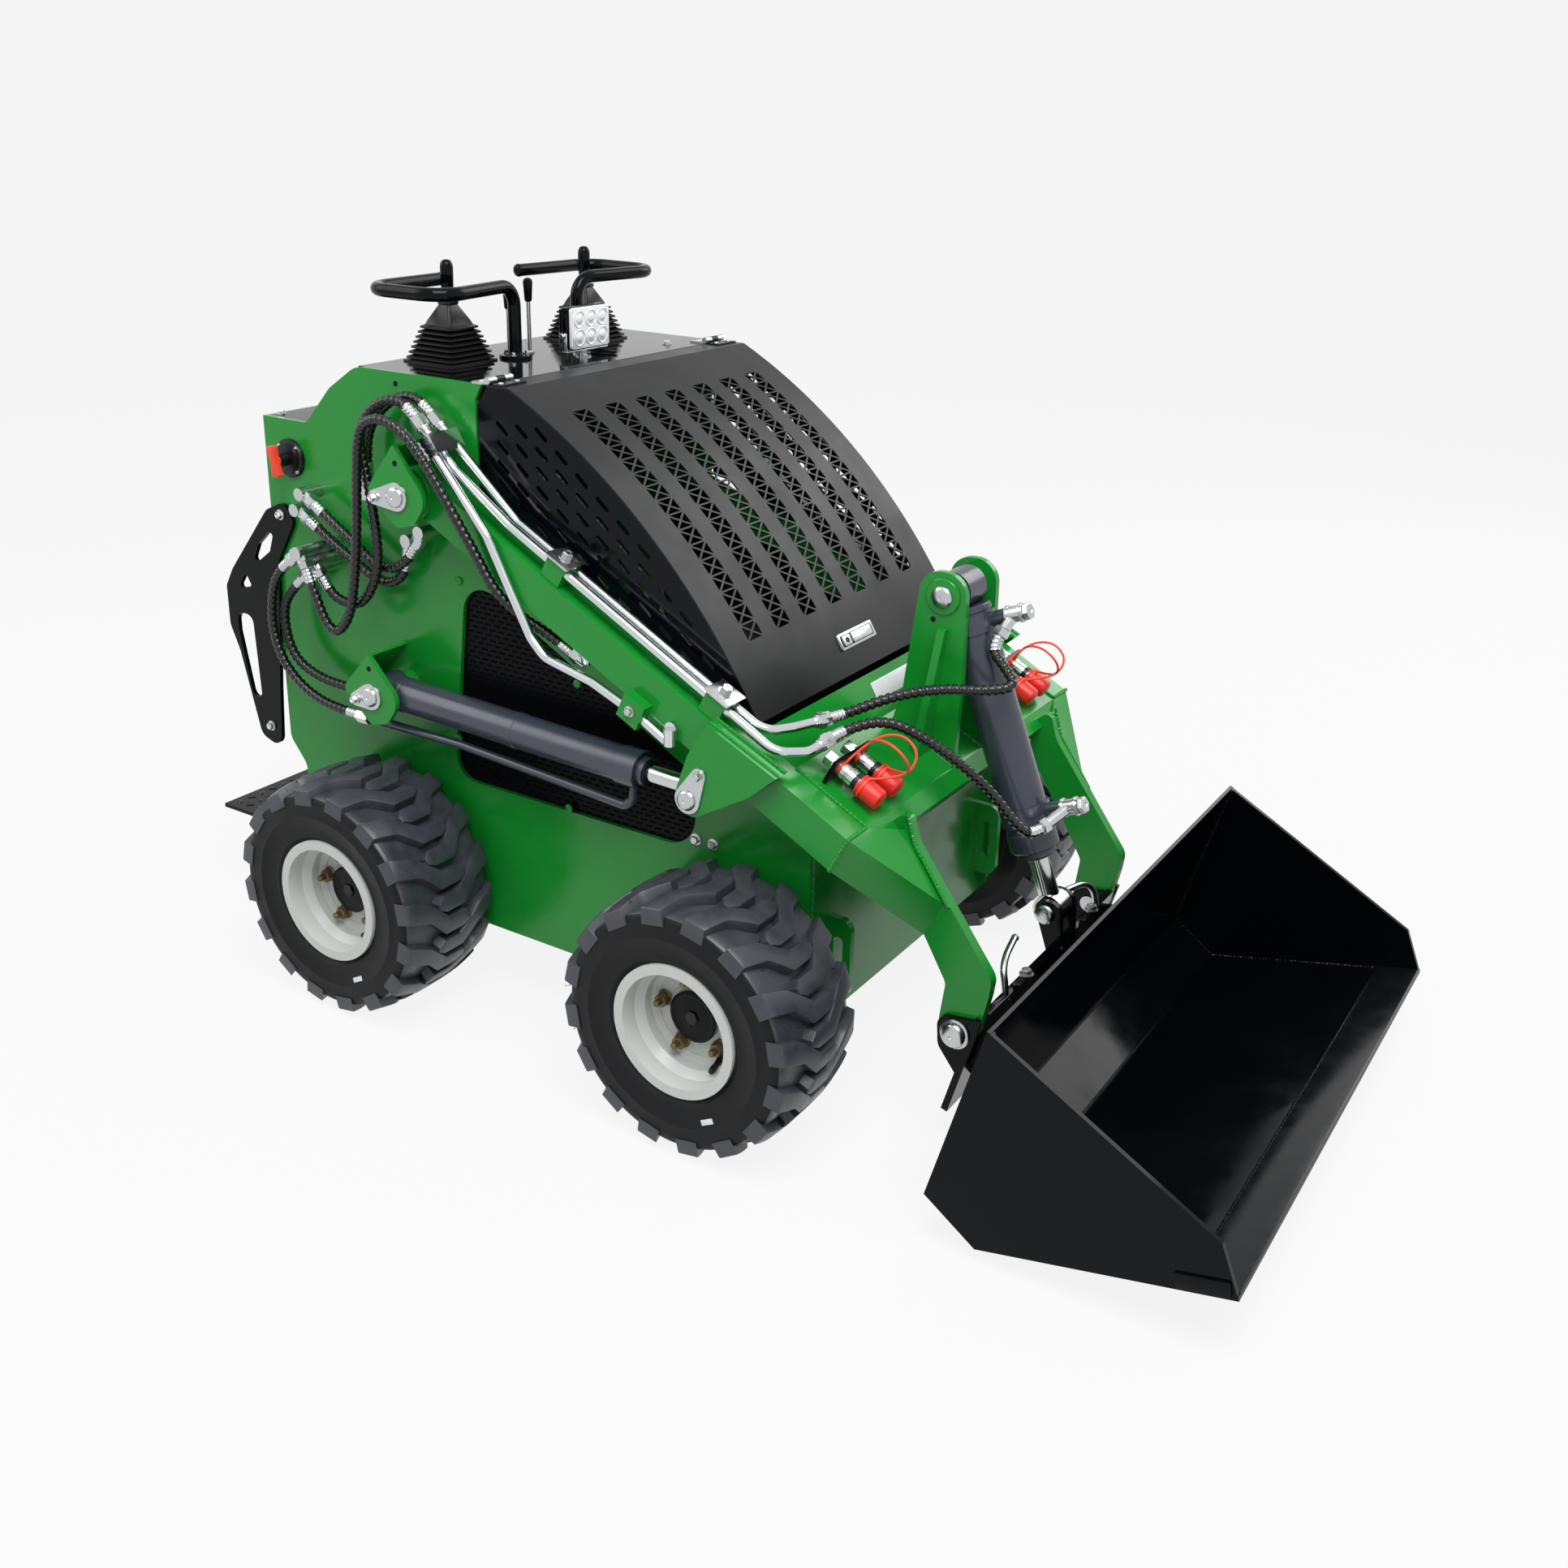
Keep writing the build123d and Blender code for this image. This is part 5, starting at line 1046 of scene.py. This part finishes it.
def build_bucket_trim():
    """Weld beads inside, a cutting edge with its seam, corner plates, pin heads and lock handles."""
    welds = Piece("bucket_welds", gloss_black)
    edge = Piece("bucket_cutting_edge", worn_steel, gloss_black)
    gear = Piece("attachment_hardware", zinc)
    for side in (-1, 1):
        inside = side * (BUCKET_HALF - 9)
        add_bead(welds, [(x, inside, z) for x, z in BUCKET_INSIDE], 3)
        face_y = side * (BUCKET_HALF + (4.5 if side > 0 else 0))
        corner = LIP + FLOOR_RUN * 8 + UPWARD * 3 + Vector((0, face_y, 0))
        at_corner = stand(corner, RIGHT, FLOOR_RUN)
        if at_corner.col[1].z < 0:
            at_corner = at_corner @ Matrix.Diagonal((1, -1, 1, 1))
        edge.add(plate(round_corners([(0, 2), (80, 2), (80, 26), (0, 26)], 5), 4.5, 1.2), at_corner, 1)
        add_dome(gear, stand((FOOT_PIN[0], side * (FOOT_OUT + 17), FOOT_PIN[1]), (0, side, 0)), 21, 8)
        gear.add(turned([(15.5, 0), (26, 0), (26, 3), (24.6, 4), (15.5, 4), (15.5, 0)], 32),
                 stand((FOOT_PIN[0], side * (FOOT_OUT + 10), FOOT_PIN[1]), (0, side, 0)))
        add_dome(gear, stand((TILT_ROD_PIN[0], side * 34, TILT_ROD_PIN[1]), (0, side, 0)), 18, 6)
        handle = [(398, 190, 238), (396, 190, 262), (388, 184, 284), (380, 160, 296), (374, 128, 300),
                  (370, 104, 302)]
        gear.add(tube([(x, side * y, z) for x, y, z in handle], 6))
        add_dome(gear, stand((370, side * 104, 302), (0, -side, 0)), 7, 4)
        add_bolt(gear, stand((410, side * 138, 262), (0, 0, 1)), 16, 10)
    along_lip = LIP + FLOOR_RUN * 74
    bar = stand(LIP + FLOOR_RUN * 37 + UPWARD * 6, UPWARD, FLOOR_RUN)
    edge.add(cuboid(74, 2 * BUCKET_HALF - 17, 4, 1.2), bar)
    rear_edge = along_lip + UPWARD * 8
    add_bead(welds, [(rear_edge.x, -BUCKET_HALF + 10, rear_edge.z),
                     (rear_edge.x, BUCKET_HALF - 10, rear_edge.z)], 2.6)
    for spot, radius in (((445.5, 89.5), 2.0), ((528, 32), 2.0)):
        add_bead(welds, [(spot[0], -BUCKET_HALF + 10, spot[1]), (spot[0], BUCKET_HALF - 10, spot[1])], radius)
    welds.done("attachment")
    edge.done("attachment")
    gear.done("attachment")


# ---------------------------------------------------------------- floor, light and camera
FLOOR_HALF = 60                         # metres
FLOOR_SHARE = 0.88                      # of the floor's look that is plain; the rest keeps the shadow
FLOOR_PALE = "FFFFFF"
WORLD_PALE = "F5F5F5"                   # as the far floor comes out, so that no horizon shows
WORLD_STRENGTH = 0.34
SOFTBOXES = [                           # place, size, power, aim
    ((1.8, -2.1, 4.8), 3.0, 250, (0, 0, 0.5)),
    ((-3.5, -2.5, 3.4), 3.0, 70, (0, 0, 0.6)),
    ((1.5, 4.0, 3.5), 3.0, 90, (0, 0, 0.5)),
]
CAMERA_PLACE = (1.5345, -2.362, 1.623)
CAMERA_ANGLES = (31.82, 19.91, 1.46)    # azimuth, elevation and roll in degrees
CAMERA_LENS = 37.4
CAMERA_SHIFT = (-0.0083, -0.064)


def lit_backdrop(tree, surface, pale, share):
    """Lays a plain pale emission over a surface for camera rays, gloss and rays through glass."""
    path = node(tree, "LightPath")
    some = node(tree, "Math", {0: path.outputs["Is Camera Ray"], 1: path.outputs["Is Glossy Ray"]},
                operation="MAXIMUM")
    seen = node(tree, "Math", {0: some.outputs[0], 1: path.outputs["Is Transmission Ray"]},
                operation="MAXIMUM")
    part = node(tree, "Math", {0: seen.outputs[0], 1: share}, operation="MULTIPLY")
    plain = node(tree, "Emission", {"Color": colour(pale), "Strength": 1.0})
    return node(tree, "MixShader", {0: part.outputs[0], 1: surface, 2: plain.outputs[0]}).outputs[0]


def studio():
    """Pale floor and even soft light, with the background kept pale by the light path."""
    mesh = bmesh.new()
    bmesh.ops.create_grid(mesh, x_segments=1, y_segments=1, size=FLOOR_HALF)
    data = bpy.data.meshes.new("floor")
    mesh.to_mesh(data)
    floor = bpy.data.objects.new("floor", data)
    bpy.context.scene.collection.objects.link(floor)
    paper = bpy.data.materials.new("Studio floor paper")
    paper.use_nodes = True
    tree = paper.node_tree
    shader = tree.nodes["Principled BSDF"]
    shader.inputs["Base Color"].default_value = colour("C8C8C8")
    shader.inputs["Roughness"].default_value = 0.9
    tree.links.new(lit_backdrop(tree, shader.outputs[0], FLOOR_PALE, FLOOR_SHARE),
                   tree.nodes["Material Output"].inputs["Surface"])
    data.materials.append(paper)

    world_light = bpy.data.worlds.new("Studio")
    world_light.use_nodes = True
    bpy.context.scene.world = world_light
    tree = world_light.node_tree
    lit = tree.nodes["Background"]
    lit.inputs["Color"].default_value = colour("EDF1F5")
    lit.inputs["Strength"].default_value = WORLD_STRENGTH
    tree.links.new(lit_backdrop(tree, lit.outputs[0], WORLD_PALE, 1.0),
                   tree.nodes["World Output"].inputs["Surface"])
    for spot, size, power, aim in SOFTBOXES:
        lamp = bpy.data.lights.new("softbox", "AREA")
        lamp.size = size
        lamp.energy = power
        made = bpy.data.objects.new("softbox", lamp)
        bpy.context.scene.collection.objects.link(made)
        made.location = spot
        made.rotation_euler = (Vector(aim) - Vector(spot)).to_track_quat("-Z", "Y").to_euler()


def camera():
    azimuth, elevation, roll = (math.radians(angle) for angle in CAMERA_ANGLES)
    forward = Vector((-math.sin(azimuth) * math.cos(elevation), math.cos(azimuth) * math.cos(elevation),
                      -math.sin(elevation)))
    right = forward.cross(Vector(UP)).normalized()
    up = right.cross(forward)
    right, up = right * math.cos(roll) + up * math.sin(roll), up * math.cos(roll) - right * math.sin(roll)
    data = bpy.data.cameras.new("camera")
    data.lens = CAMERA_LENS
    data.shift_x, data.shift_y = CAMERA_SHIFT
    made = bpy.data.objects.new("camera", data)
    bpy.context.scene.collection.objects.link(made)
    facing = Matrix((right, up, -forward)).transposed().to_4x4()
    made.matrix_world = Matrix.Translation(CAMERA_PLACE) @ facing
    bpy.context.scene.camera = made


for end, x in (("front", 0), ("rear", -WHEELBASE)):
    for side in (-1, 1):
        build_wheel(end, x, side)
build_hoses()
build_controls()
build_lamp()
build_hood_trim()
build_body_trim()
build_battery_switch()
build_thigh_pad()
build_platform_tread()
build_arm_hardware()
build_arm_welds()
build_couplers()
build_cylinder_trim()
build_bucket_trim()
studio()
camera()
bpy.context.scene.view_settings.view_transform = "Standard"
